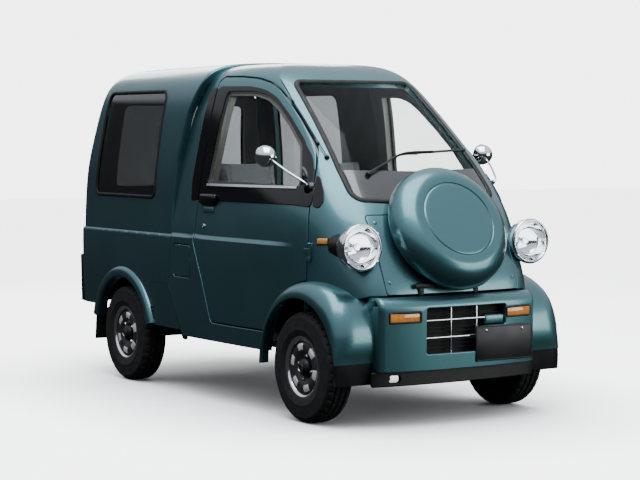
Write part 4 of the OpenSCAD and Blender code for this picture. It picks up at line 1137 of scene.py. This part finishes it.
for side, sign in SIDES:
    c = LAMP * (sign, 1, 1)
    ax = (0, -1, 0)
    turned("lamp_bowl_" + side, [(0, -188), (54, -188), (55.5, -96), (70, -91), (84, -78), (93, -62),
                                 (100, -44), (103.5, -24), (105, -8), (104, -2), (94, -2), (86, -30),
                                 (70, -52), (44, -66), (0, -72)], c, ax, CHROME, n=80,
           replaces=("headlight_housings",))
    ring = [(92, -4), (93, 7), (95.5, 12), (99, 14.5), (103, 14), (107, 10.5), (109, 4), (108.6, -4),
            (106, -8), (104, -8)]
    turned("lamp_ring_" + side, ring, c, ax, CHROME, n=96)
    turned("lamp_base_" + side, [(0, -189), (58, -189), (60, -104), (72, -99), (74, -94), (70, -90),
                                 (56, -92), (0, -92)], c, ax, BLACK, n=64)
    # fluted glass: ridges across the pattern area, on a domed face
    n_a, radii = 96, [0, 12, 24, 36, 48, 58, 68, 78, 86, 92]
    v, f = [(c[0], c[1] - 15.5, c[2])], []
    dome = lambda r: 15.5 - 11 * (r / 92) ** 2.4
    for face_out in (True, False):
        for r in radii[1:]:
            for k in range(n_a):
                a = 2 * math.pi * k / n_a
                x, z = r * math.cos(a), r * math.sin(a)
                h = dome(r) - (0 if face_out else 4)
                if not face_out and r < 84:
                    h += 0.9 * math.cos(x * 2 * math.pi / 9)
                v.append((c[0] + x, c[1] - h, c[2] + z))
    rows = len(radii) - 1
    tip = len(v)
    v.append((c[0], c[1] - 11.5, c[2]))
    idx = lambda layer, i, k: 1 + layer * rows * n_a + i * n_a + k % n_a
    for k in range(n_a):
        f.append((0, idx(0, 0, k), idx(0, 0, k + 1)))
        f.append((tip, idx(1, 0, k + 1), idx(1, 0, k)))
        for i in range(rows - 1):
            f.append((idx(0, i, k), idx(0, i + 1, k), idx(0, i + 1, k + 1), idx(0, i, k + 1)))
            f.append((idx(1, i, k), idx(1, i, k + 1), idx(1, i + 1, k + 1), idx(1, i + 1, k)))
        f.append((idx(0, rows - 1, k), idx(1, rows - 1, k), idx(1, rows - 1, k + 1), idx(0, rows - 1, k + 1)))
    auto_smooth(fix_out(mesh("lamp_lens_" + side, v, f, LENS, "body",
                             replaces=("headlight_lenses",))), 50)
    turned("lamp_bulb_" + side, [(0, -68), (13, -68), (13, -52), (17, -48), (18, -38), (14, -30), (0, -27)],
           c, ax, BRIGHT, n=32)
    for k, a in enumerate((38, 142, 218, 322)):
        p = c + np.array([math.cos(math.radians(a)) * 101, 0, math.sin(math.radians(a)) * 101])
        turned("lamp_screw_%s_%d" % (side, k), [(0, 12), (5, 12), (5, 16.5), (3.6, 18), (1.2, 18),
                                                (1.0, 16.6), (0, 16.6)], p, ax, BRIGHT, n=16)

# ------------------------------------------------------------------ wheels


def tyre(name, centre, sign, body, node):
    """A radial tyre with grooves round it, sipes across its shoulders and a beaded rim seat."""
    ro, ri, w = 258.0, 129.0, 70.0
    half = [(ri - 1.5, 46), (ri, 54), (ri + 9, 58), (ri + 16, 60), (ri + 26, 65.5), (ri + 44, 69.5),
            (ri + 48, 71.2), (ri + 52, 69.9), (ri + 66, w), (ri + 86, 69), (ri + 98, 67), (ri + 103, 67.6),
            (ri + 108, 65.6), (ro - 14, 61), (ro - 6, 54), (ro - 2.2, 47), (ro - 0.8, 40), (ro - 0.8, 33),
            (ro - 7.5, 31.5), (ro - 7.5, 26.5), (ro - 0.4, 25), (ro, 14), (ro - 0.2, 4.5), (ro - 7.5, 3.2)]
    prof = [(r, h) for r, h in half] + [(r, -h) for r, h in half[::-1]]
    n = 180
    v, f = [], []
    for r, h in prof:
        for k in range(n):
            cut = 0.0
            if ro - 15 < r and abs(h) > 38 and k % 5 == 0:
                cut = 6.0 if r > ro - 7 else 3.0
            elif r > ro - 3 and 12 < abs(h) < 27 and k % 5 == 2:
                cut = 3.5
            a = 2 * math.pi * (k + (0.35 if h > 0 else -0.35)) / n
            v.append((centre[0] + sign * h, centre[1] + (r - cut) * math.cos(a),
                      centre[2] + (r - cut) * math.sin(a)))
    m = len(prof)
    for i in range(m):
        j = (i + 1) % m
        for k in range(n):
            q = (k + 1) % n
            f.append((i * n + k, i * n + q, j * n + q, j * n + k))
    return auto_smooth(fix_out(mesh(name, v, f, TYRE, body, replaces=(node,))), 32)


def wheel(key, sign, y, body):
    c = np.array([sign * TRACK / 2, y, AXLE_Z])
    tyre("tyre_skin_" + key, c, sign, body, "tyre_" + key)
    ax = (sign, 0, 0)
    rim = [(112, -52), (116, -57), (140, -57.5), (143, -56), (143, -53), (131, -51), (127, -44), (121, -30),
           (112, -10), (112, 20), (121, 34), (127, 46), (131, 52), (141, 54), (145, 56), (146.5, 58.5),
           (145.5, 60.5), (142, 61), (137, 59.5), (131, 57), (127, 50), (122, 40), (118, 30), (116, 22),
           (112, 19.5), (106, 19), (106, -12), (108, -30), (110, -46)]
    turned("rim_band_" + key, rim, c, ax, FRAME_MAT, body=body, n=96, angle=30,
           replaces=("rim_" + key,))
    lip = [(129, 50), (133, 53), (141, 54.8), (145, 56.5), (147.2, 58.8), (146.4, 61), (142, 62),
           (136, 60.6), (130, 57.8), (126.8, 52)]
    turned("rim_lip_" + key, lip, c, ax, CHROME, body=body, n=96, angle=50)
    disc = [(0, 6), (40, 6), (52, 10), (64, 19), (78, 26), (92, 27), (101, 24), (108, 19.5), (112, 19.5),
            (112, 14), (104, 14), (98, 18.5), (90, 21.5), (78, 20.5), (66, 14), (54, 5), (40, 1), (0, 1)]
    disc = [(r if r < 64 else 64 + (r - 64) * 1.3, h + 26) for r, h in disc]
    turned("rim_disc_" + key, disc, c, ax, FRAME_MAT, body=body, n=96, angle=40)
    turned("rim_hub_" + key, [(0, 20), (44, 20), (44, 44), (42, 50), (37, 57), (31, 62), (22, 65.5),
                              (21, 68), (14, 68.5), (13, 67), (0, 67)],
           c, ax, BLACK, body=body, n=64)
    turned("rim_hub_ring_" + key, [(19, 66), (21, 69.2), (17, 70), (15, 67)], c, ax, BRIGHT, body=body, n=48)
    for k in range(6):
        v, f = [], []
        pts = fillet([(-19, 82), (19, 82), (26, 114), (-26, 114)], 5, 4)
        pts = dense(pts, 9)
        a = math.radians(k * 60 + (15 if y < 0 else 40))

        def spot(q, h):
            t, r = q
            ang = a + t / r
            return (c[0] + sign * h, c[1] + r * math.cos(ang), c[2] + r * math.sin(ang))

        face = lambda r: 26 + float(np.interp(r, [64, 82, 100, 112, 121], [19, 26, 27, 24, 19.5]))
        m = len(pts)
        mid = pts.mean(0)
        inset = mid + (pts - mid) * 0.84
        for q in pts:
            v.append(spot(q, face(q[1]) - 3))
        for q in pts:
            v.append(spot(q, face(q[1]) + 1.0))
        for q in inset:
            v.append(spot(q, face(q[1]) + 2.4))
        v.append(spot(mid, face(mid[1]) + 2.6))
        v.append(spot(mid, face(mid[1]) - 3))
        for i in range(m):
            j = (i + 1) % m
            f += [(i, j, m + j, m + i), (m + i, m + j, 2 * m + j, 2 * m + i), (2 * m + i, 2 * m + j, 3 * m),
                  (j, i, 3 * m + 1)]
        auto_smooth(fix_out(mesh("rim_window_%s_%d" % (key, k), v, f, SILVER, body)), 40)
    for k in range(4):
        a = math.radians(k * 90 + (15 if y < 0 else 52))
        p = c + np.array([0, math.cos(a), math.sin(a)]) * 57
        turned("wheel_nut_%s_%d" % (key, k), [(0, 34), (9.5, 34), (9.5, 45), (8, 47), (5, 47.5), (4.4, 51),
                                              (0, 51)], p, ax, BRIGHT, body=body, n=6)
    turned("tyre_valve_" + key, [(0, 0), (3.4, 0), (3.4, 14), (2.2, 15), (2.2, 20), (0, 20)],
           c + np.array([sign * 30, 96 * math.cos(2.2), 96 * math.sin(2.2)]), ax, RUBBER, body=body, n=12)


for side, sign in SIDES:
    wheel("front_" + side, sign, FRONT, "wheel_front_" + side)
    wheel("rear_" + side, sign, REAR, "wheel_rear_" + side)

# ------------------------------------------------------------- small parts


def placed(at, n):
    """A matrix that stands a piece made along z on a surface with normal n."""
    n = unit(n)
    u = unit(np.cross((0, 0, 1), n))
    w = np.cross(n, u)
    m = Matrix.Identity(4)
    for i in range(3):
        m[i][0], m[i][1], m[i][2], m[i][3] = u[i], w[i], n[i], at[i]
    return m


def on_side(y, z, sign, out=0.0):
    sv = cab.side([(y, z)])
    p, n = path_on(cab, sv * (sign, 1), out)
    return p[0], n[0]


for side, sign in SIDES:
    dbody = "door_" + side
    # side marker lamp
    p, n = on_side(-997, 845, sign, 0)
    m = placed(p, n)
    block("side_marker_frame_" + side, (-33, -18, -6), (33, 18, 3), 3, BLACK, place=m)
    block("side_marker_" + side, (-29, -14, -4), (29, 14, 8), 5, AMBER, place=m)
    # outside hinge
    for k, (z0, z1, b) in enumerate(((750, 772.5, "body"), (773.5, 812.5, dbody), (813.5, 836, "body"))):
        barrel = [(0, z0), (9.5, z0), (11, z0 + 1.5), (11, z1 - 1.5), (9.5, z1), (0, z1)]
        turned("hinge_%s_%d" % (side, k), barrel, (sign * 578, -929, 0), (0, 0, 1), PAINT, body=b, n=32)
    block("hinge_leaf_" + side, (sign * 578 - 7 - 6 * sign, -925, 776),
          (sign * 578 + 7 - 6 * sign, -878, 810), 3, PAINT, body=dbody)
    block("hinge_foot_" + side, (sign * 566 - 12, -940, 752), (sign * 566 + 12, -924, 834), 4, PAINT)
    # handle: a black pull in a shallow recess, with the lock below
    p, n = on_side(-13, 1010, sign, 4)
    m = placed(p, n)
    block("handle_pull_" + side, (-78, -22, -6), (78, 30, 22), 13, GLOSS_BLACK, body=dbody,
          place=m, n=4)
    block("handle_base_" + side, (-70, -30, -8), (70, 22, 4), 6, BLACK, body=dbody,
          place=m)
    block("handle_cup_" + side, (-50, -64, -9), (50, -34, 3), 5, PAINT, body=dbody, place=m)
    p, n = on_side(23, 878, sign, 0)
    turned("door_lock_" + side, [(0, -4), (12, -4), (12, 3), (10, 5), (4, 5), (3.4, 3.4), (0, 3.4)], p, n,
           BRIGHT, body=dbody, n=32)
    # mirror: dome clamp, bent stalk and a round head
    clamp = np.array([sign * 518, -872 + 2, 1086.0])
    nn = unit(np.array([sign * 0.864, -0.288, 0.411]))
    foot = clamp + np.array([0, 24, 0])
    turned("mirror_clamp_" + side, [(0, -12), (31, -12), (34, -6), (34.5, 2), (32, 11), (26, 19), (17, 25),
                                    (8, 28), (0, 29)], foot - nn * 2, nn, GLOSS_BLACK, body=dbody, n=48,
           replaces=("mirror_" + side,))
    head = np.array([sign * 640, -650, 1235.0])
    a = foot + nn * 22
    stalk = smoothcurve([a, a + nn * 26 + (0, 0, 8), a + (head - a) * 0.45 + nn * 26,
                         a + (head - a) * 0.8 + nn * 10, head], 7)
    tube("mirror_stalk_" + side, stalk, 5.2, CHROME, body=dbody, n=14)
    turned("mirror_head_" + side, [(0, -50), (18, -46.5), (33, -37), (44, -23), (50, -8), (52.5, 6), (53, 16),
                                   (51, 20), (48, 20.5), (46, 17), (0, 15)],
           head, (sign * -0.12, 0.985, 0.06), CHROME, body=dbody, n=72)
    turned("mirror_joint_" + side, [(0, -14), (9, -12), (12, -4), (12, 4), (9, 12), (0, 14)],
           a + nn * 8, nn, BLACK, body=dbody, n=28)
    # inside of the door: armrest and winder
    p, n = on_side(-330, 930, sign, -56)
    m = placed(p, -n)
    block("armrest_" + side, (-150, -26, 0), (150, 26, 46), 16, TRIM, body=dbody,
          place=m)
    p, n = on_side(-560, 760, sign, -52)
    turned("winder_" + side, [(0, -6), (18, -6), (18, 8), (14, 14), (0, 14)], p, -n, BLACK, body=dbody, n=32)
    tube("winder_arm_" + side, [p - n * 12, p - n * 15 + (0, 40, 30), p - n * 20 + (0, 78, 58)], [7, 6, 9],
         BLACK, body=dbody)

# the fuel lid and what lies behind it
panel("fuel_lid_skin", cab, flip(cab.side(dense(FUEL, 10))), t=9, r=2.5, mats=[PAINT], body="fuel_lid",
      replaces=("fuel_lid",))
turned("fuel_cap", [(0, -10), (34, -10), (34, 2), (31, 7), (10, 7), (9, 15), (0, 15)], (-592, 231, 690),
       (-1, 0, 0), BLACK, n=40)
block("fuel_cup", (-590, 140, 606), (-578, 322, 780), 4, UNDER)
block("fuel_hinge", (-631, 134, 672), (-622, 147, 708), 3, PAINT, body="fuel_lid")

# the bed: pressing across its side, louvres, mud flaps
for side, sign in SIDES:
    line = bed.side([(y, 565) for y in np.linspace(382, 588, 24)])
    p, n = path_on(bed, line * (sign, 1), 0)
    bead("bed_joint_" + side, p, n, oval(1.6, 1.0, 8), RUBBER, closed=False)
    for k in range(4):
        z = 372 + 18 * k
        line = bed.side([(y, z) for y in np.linspace(565, 612, 8)])
        p, n = path_on(bed, line * (sign, 1), 0)
        bead("louvre_%s_%d" % (side, k), p, n, [(-5, -1), (-2, 5), (3, 5), (5, -1)], BLACK, closed=False)
    lo, hi = sorted((sign * 486, sign * 634))
    block("mud_flap_" + side, (lo, 1238, 196), (hi, 1246, 372), 3, RUBBER,
          taper=lambda p: p + np.array([0, 20 * ((372 - p[2]) / 176) ** 1.6, 0]))
    # tail lamps
    lo, hi = sorted((sign * 536, sign * 606))
    bend = lambda p: np.array([p[0], p[1] - 34 * max(0, (abs(p[0]) - 536) / 70) ** 2 + 14, p[2]])
    block("tail_lamp_" + side, (lo, 1404, 744), (hi, 1448, 818), 7, RED, taper=bend,
          replaces=("tail_lamps",))
    block("tail_flasher_" + side, (lo, 1404, 700), (hi, 1448, 743), 7, AMBER, taper=bend)
    block("tail_hinge_" + side, (sign * 300 - 29, 1352, 1596), (sign * 300 + 29, 1392, 1622), 7, PAINT)

# rear bumper: a bar with wrapped ends and a step on top
rb = lambda p: np.array([p[0], p[1] - 12 * max((470 - p[2]) / 76, 0) ** 2 * (p[1] > 1470), p[2]])
block("rear_bumper_skin", (-608, 1424, 394), (608, 1511, 662), 9, BLACK, taper=rb, n=5,
      replaces=("rear_bumper",))
for k, z in enumerate((446, 610)):
    block("rear_bumper_rib_%d" % k, (-560, 1505, z - 5), (560, 1514.5, z + 5), 3, BLACK)
block("rear_step", (-360, 1440, 655), (360, 1506, 666), 4, RUBBER)
block("tailgate_handle", (-70, 1440, 782), (70, 1464, 812), 8, BLACK, body="tailgate")
turned("tailgate_lock", [(0, 0), (11, 0), (11, 4), (9, 6), (0, 6)], (0, 1450, 748), (0, 1, 0), BRIGHT,
       body="tailgate", n=32)

for name, c, s in (("front", (221, -1368, 368), -1), ("rear", (0, 1512, 525), 1)):
    lo, hi = (c[0] - 165, c[1], c[2] - 82.5), (c[0] + 165, c[1] + 4, c[2] + 82.5)
    block("plate_" + name, lo, hi, 1.6, PLATE, replaces=("number_plates",))
    face = c[1] if s < 0 else c[1] + 4
    rim = np.array([(x + c[0], face, z + c[2]) for x, z in
                    dense(fillet([(-160, -77.5), (160, -77.5), (160, 77.5), (-160, 77.5)], 9), 12)])
    bead("plate_rim_" + name, rim, [(0, s, 0)] * len(rim), oval(2.2, 1.4, 8), PLATE)
    for k, x in enumerate((-105, 105)):
        turned("plate_screw_%s_%d" % (name, k), [(0, -2), (7, -2), (7, 1.6), (5, 3.4), (1.4, 3.8), (1.2, 2.4),
                                                 (0, 2.4)],
               (c[0] + x, face, c[2] + 60.5), (0, s, 0), BRIGHT, n=20)
block("plate_bracket_front", (150, -1366, 330), (292, -1330, 420), 4, BLACK)

# wiper
W = np.array([(-271, -961, 1147), (-21, -881, 1236), (186, -862, 1247), (394, -823, 1256)], float)
wn = np.array([-0.07, -0.712, 0.699])
turned("wiper_pivot", [(0, -16), (14, -16), (15, 4), (13, 12), (9, 18), (0, 20)], W[0], wn, BLACK, n=36,
       replaces=("wiper",))
tube("wiper_arm", smoothcurve([W[0] + wn * 14, W[0] * 0.6 + W[1] * 0.4 + wn * 17, W[1] + wn * 15,
                               W[2] * 0.9 + W[1] * 0.1 + wn * 15], 8), np.linspace(6.5, 3.6, 25), BLACK)
blade = smoothcurve([W[1] * 0.72 + W[0] * 0.28 + wn * 5, W[1] + wn * 5, W[2] + wn * 5.5, W[3] + wn * 6], 10)
bead("wiper_blade", blade, [wn] * len(blade), [(-2, -4), (-3.5, 3), (-6, 6), (6, 6), (3.5, 3), (2, -4)],
     BLACK, closed=False)
for k, p in enumerate((W[2] * 0.3 + W[1] * 0.7, W[2] * 0.35 + W[3] * 0.65)):
    block("wiper_claw_%d" % k, (-26, -7, 4), (26, 7, 13), 3, BLACK, place=placed(p, wn))

# antenna on the right pillar
ant = [(-389, -373, 1601), (-402, -460, 1535), (-409, -515, 1495), (-416, -640, 1392), (-421, -764, 1292),
       (-421, -840, 1228)]
pts = []
for x, y, z in ant:
    sv = cab.face([(x, z)])
    p, n = path_on(cab, sv, 11)
    pts.append(p[0])
tube("antenna_rod", smoothcurve(pts, 6), 2.6, BLACK)
for k, i in enumerate((2, 4)):
    sv = cab.face([(ant[i][0], ant[i][2])])
    p, n = path_on(cab, sv, 0)
    turned("antenna_holder_%d" % k, [(0, -4), (8, -4), (8, 3), (5, 7), (5, 13), (3, 15), (0, 15)], p[0], n[0],
           BLACK, n=24)
sv = cab.face([(-421, 1228)])
p, n = path_on(cab, sv, 0)
turned("antenna_base", [(0, -4), (13, -4), (13, 4), (9, 10), (6, 16), (0, 17)], p[0], n[0], BLACK, n=32)
for k, (x, z) in enumerate(((-351, 663), (351, 663), (-351, 930), (351, 930))):
    sv = cab.face([(x, z)])
    p, n = path_on(cab, sv, 0)
    turned("nose_screw_%d" % k, [(0, -2), (9, -2), (9, 1.6), (6, 3.6), (1.6, 4), (1.4, 2.6), (0, 2.6)], p[0],
           n[0], PAINT, n=24)

# ---------------------------------------------------------------- interior


def at_wheel(ang, r, h):
    t = math.radians(35)
    ax = np.array([0, math.cos(t), math.sin(t)])
    u = np.array([1.0, 0, 0])
    w = np.cross(ax, u)
    a = math.radians(ang)
    return np.array([-275, -540, 985.0]) + ax * h + (u * math.cos(a) + w * math.sin(a)) * r


ax = unit([0, math.cos(math.radians(35)), math.sin(math.radians(35))])
ring = [(180 - 13 + 13 * math.cos(a), 13 * math.sin(a))
        for a in np.linspace(0, 2 * math.pi, 16, endpoint=False)]
turned("steering_rim", ring, at_wheel(0, 0, 0), ax, BLACK, body="steering_wheel", n=96,
       replaces=("steering_wheel",))
turned("steering_hub", [(0, -80), (10, -80), (10, -24), (30, -20), (50, -12), (56, 0), (52, 12), (40, 18),
                        (0, 20)], at_wheel(0, 0, 0), ax, TRIM, body="steering_wheel", n=56)
for k, a in enumerate((8, 172, 270)):
    pts = [at_wheel(a, 40, -4), at_wheel(a, 80, -9), at_wheel(a, 125, -7), at_wheel(a, 168, 0)]
    tube("steering_spoke_%d" % k, smoothcurve(pts, 5), [13] * 10 + [10] * 6, TRIM, body="steering_wheel",
         n=14)
block("dash_cluster", (-400, -872, 976), (-150, -786, 1040), 26, TRIM, n=4)
block("dash_vent", (-40, -798, 900), (110, -776, 948), 5, BLACK)
for k in range(4):
    block("dash_slat_%d" % k, (-34, -782, 907 + k * 10), (104, -768, 911 + k * 10), 1.5, TRIM)

# ------------------------------------------------------------------- seats


def pad(name, size, seams, place, cap):
    """A stuffed pad: a rounded block, swollen by cloth pressure, with seams sewn after."""
    bm = bmesh.new()
    bmesh.ops.create_cube(bm, size=1)
    w, d, h = (s / 1000 for s in size)
    for v in bm.verts:
        v.co = (v.co.x * (w - 0.03), v.co.y * (d - 0.03), v.co.z * (h - 0.03))
    bmesh.ops.bevel(bm, geom=list(bm.edges), offset=0.022, segments=3, profile=0.6, affect="EDGES")
    me = bpy.data.meshes.new(name)
    bm.to_mesh(me)
    bm.free()
    ob = bpy.data.objects.new(name, me)
    bpy.context.scene.collection.objects.link(ob)
    rm = ob.modifiers.new("r", "REMESH")
    rm.mode, rm.voxel_size, rm.use_smooth_shade = "VOXEL", 0.0085, True
    dg = bpy.context.evaluated_depsgraph_get()
    base = bpy.data.meshes.new_from_object(ob.evaluated_get(dg))
    ob.modifiers.clear()
    ob.data = base
    rest = np.array([v.co for v in base.vertices])
    cl = ob.modifiers.new("c", "CLOTH")
    st = cl.settings
    st.quality, st.mass, st.use_pressure, st.uniform_pressure_force = 5, 0.3, True, 4
    st.tension_stiffness = st.compression_stiffness = 12
    st.bending_stiffness = 0.6
    st.effector_weights.gravity = 0
    cl.point_cache.frame_start, cl.point_cache.frame_end = 1, 20
    for f in range(1, 21):
        bpy.context.scene.frame_set(f)
    dg = bpy.context.evaluated_depsgraph_get()
    ev = ob.evaluated_get(dg).to_mesh()
    grown_co = np.array([v.co for v in ev.vertices])
    ob.modifiers.clear()
    bpy.context.scene.frame_set(1)
    move = grown_co - rest
    length = np.linalg.norm(move, axis=1, keepdims=True)
    grown_co = rest + move * np.minimum(1, cap / np.maximum(length, 1e-9))
    # seams and channels, in the pad's own frame: (axis, place, depth, width)
    for axis, at, depth, width in seams:
        d0 = np.abs(grown_co[:, axis] - at / 1000)
        g = np.exp(-(d0 / (width / 1000)) ** 2) * depth / 1000
        top = np.clip(grown_co[:, 2] / (h * 0.3), 0, 1)
        grown_co[:, 2] -= g * top
    base.vertices.foreach_set("co", grown_co.astype(np.float32).ravel())
    base.update()
    sub = ob.modifiers.new("s", "SUBSURF")
    sub.levels = sub.render_levels = 1
    dg = bpy.context.evaluated_depsgraph_get()
    done = bpy.data.meshes.new_from_object(ob.evaluated_get(dg))
    ob.modifiers.clear()
    ob.data = done
    done.transform(place)
    done.materials.clear()
    done.materials.append(FABRIC)
    done.polygons.foreach_set("use_smooth", [True] * len(done.polygons))
    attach(ob, "body")
    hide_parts("seats")
    return ob


def twin(ob, name, dx):
    """The same pad on the other seat."""
    me = ob.data.copy()
    me.transform(Matrix.Translation((dx, 0, 0)))
    o2 = bpy.data.objects.new(name, me)
    bpy.context.scene.collection.objects.link(o2)
    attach(o2, "body")
    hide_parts("seats")


SX = 0.270
cush = pad("seat_cushion_right", (388, 452, 118), [(0, -120, 7, 7), (0, 120, 7, 7), (1, -120, 5, 6)],
           Matrix.Translation((-SX, -0.3595 + 0.228, 0.6003 + 0.060)), 0.016)
twin(cush, "seat_cushion_left", 2 * SX)
lean = Matrix.Translation((-SX, -0.3595 + 0.44, 0.6003)) @ Matrix.Rotation(math.radians(-12), 4, "X") @ \
    Matrix.Translation((0, -0.05, 0.06 + 0.28)) @ Matrix.Rotation(math.radians(90), 4, "X")
back = pad("seat_back_right", (388, 556, 98),
           [(0, -120, 7, 7), (0, 120, 7, 7), (1, 120, 5, 6), (1, -60, 5, 6)], lean, 0.016)
twin(back, "seat_back_left", 2 * SX)

# ------------------------------------------------- materials of the CAD nodes

for node, mat in (("floor_pan", UNDER), ("chassis_frame", FRAME_MAT), ("engine_and_exhaust", CAST),
                  ("rear_axle", FRAME_MAT), ("front_suspension", FRAME_MAT), ("knuckle_right", CAST),
                  ("knuckle_left", CAST), ("dashboard", TRIM)):
    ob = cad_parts[node]
    if not ob.material_slots:
        ob.data.materials.append(mat)
    for s in ob.material_slots:
        s.material = mat

# --------------------------------------------------------- floor and lights


def studio_floor():
    v = [(-30, -30, 0), (30, -30, 0), (30, 30, 0), (-30, 30, 0)]
    me = bpy.data.meshes.new("studio_floor")
    me.from_pydata([(x, y, -0.0005) for x, y, _ in v], [], [(0, 1, 2, 3)])
    # The floor's material glows, with a painted contact shadow round the car.
    me.materials.append(FLOOR_GLOW_AND_PAINTED_SHADOW)
    ob = bpy.data.objects.new("studio_floor", me)
    bpy.context.scene.collection.objects.link(ob)
    ob.visible_glossy = ob.visible_diffuse = False


def soft_light(name, at, target, size, power, color=(1, 1, 1)):
    lamp = bpy.data.lights.new(name, "AREA")
    lamp.shape, lamp.size, lamp.size_y = "RECTANGLE", size[0], size[1]
    lamp.energy, lamp.color = power, color
    ob = bpy.data.objects.new(name, lamp)
    ob.location = at
    ob.rotation_euler = (Vector(target) - Vector(at)).to_track_quat("-Z", "Y").to_euler()
    bpy.context.scene.collection.objects.link(ob)


studio_floor()
soft_light("top_light", (-0.8, -1.4, 5.4), (0, -0.2, 0.6), (4.0, 5.6), 430, (0.90, 0.96, 1.0))
soft_light("front_light", (4.2, -6.6, 1.5), (0, -1.0, 0.5), (5.0, 3.0), 230, (0.95, 1.0, 0.97))
soft_light("rear_light", (2.0, 6.0, 3.6), (0, 0.4, 0.7), (4.2, 2.0), 160)
world = bpy.data.worlds.new("studio")
world.use_nodes = True
nt = world.node_tree
bg = nt.nodes["Background"]
pos = nt.nodes.new("ShaderNodeTexCoord")
sep = nt.nodes.new("ShaderNodeSeparateXYZ")
ramp = nt.nodes.new("ShaderNodeValToRGB")
for at, c in ((0.002, 0.03), (0.45, 0.035), (0.602, 0.06), (0.616, 0.60), (0.75, 0.85), (0.998, 1.0)):
    e = ramp.color_ramp.elements.new(at)
    e.color = (c * 0.94, c * 0.98, c * 1.06, 1)
scale = nt.nodes.new("ShaderNodeMath")
scale.operation = "MULTIPLY_ADD"
scale.inputs[1].default_value = scale.inputs[2].default_value = 0.5
path = nt.nodes.new("ShaderNodeLightPath")
white = nt.nodes.new("ShaderNodeBackground")
white.inputs["Color"].default_value = (1, 1, 1, 1)
white.inputs["Strength"].default_value = 4.8
mix = nt.nodes.new("ShaderNodeMixShader")
nt.links.new(pos.outputs["Generated"], sep.inputs[0])
nt.links.new(sep.outputs["Z"], scale.inputs[0])
nt.links.new(scale.outputs[0], ramp.inputs["Fac"])
nt.links.new(ramp.outputs["Color"], bg.inputs["Color"])
bg.inputs["Strength"].default_value = 1.15
seen = nt.nodes.new("ShaderNodeMath")
seen.operation = "MAXIMUM"
nt.links.new(path.outputs["Is Camera Ray"], seen.inputs[0])
through = nt.nodes.new("ShaderNodeMath")
through.operation = "SUBTRACT"
through.use_clamp = True
nt.links.new(path.outputs["Is Transmission Ray"], through.inputs[0])
nt.links.new(path.outputs["Glossy Depth"], through.inputs[1])
nt.links.new(through.outputs[0], seen.inputs[1])
nt.links.new(seen.outputs[0], mix.inputs["Fac"])
nt.links.new(bg.outputs[0], mix.inputs[1])
nt.links.new(white.outputs[0], mix.inputs[2])
nt.links.new(mix.outputs[0], nt.nodes["World Output"].inputs["Surface"])
bpy.context.scene.world = world

camera = bpy.data.cameras.new("camera")
camera.lens, camera.sensor_width = 102.27, 36
cam_ob = bpy.data.objects.new("camera", camera)
cam_ob.location = (-5.0138, -8.098, 1.3097)
cam_ob.rotation_euler = (math.radians(86.86), math.radians(0.1), math.radians(-32.277))
bpy.context.scene.collection.objects.link(cam_ob)
bpy.context.scene.camera = cam_ob
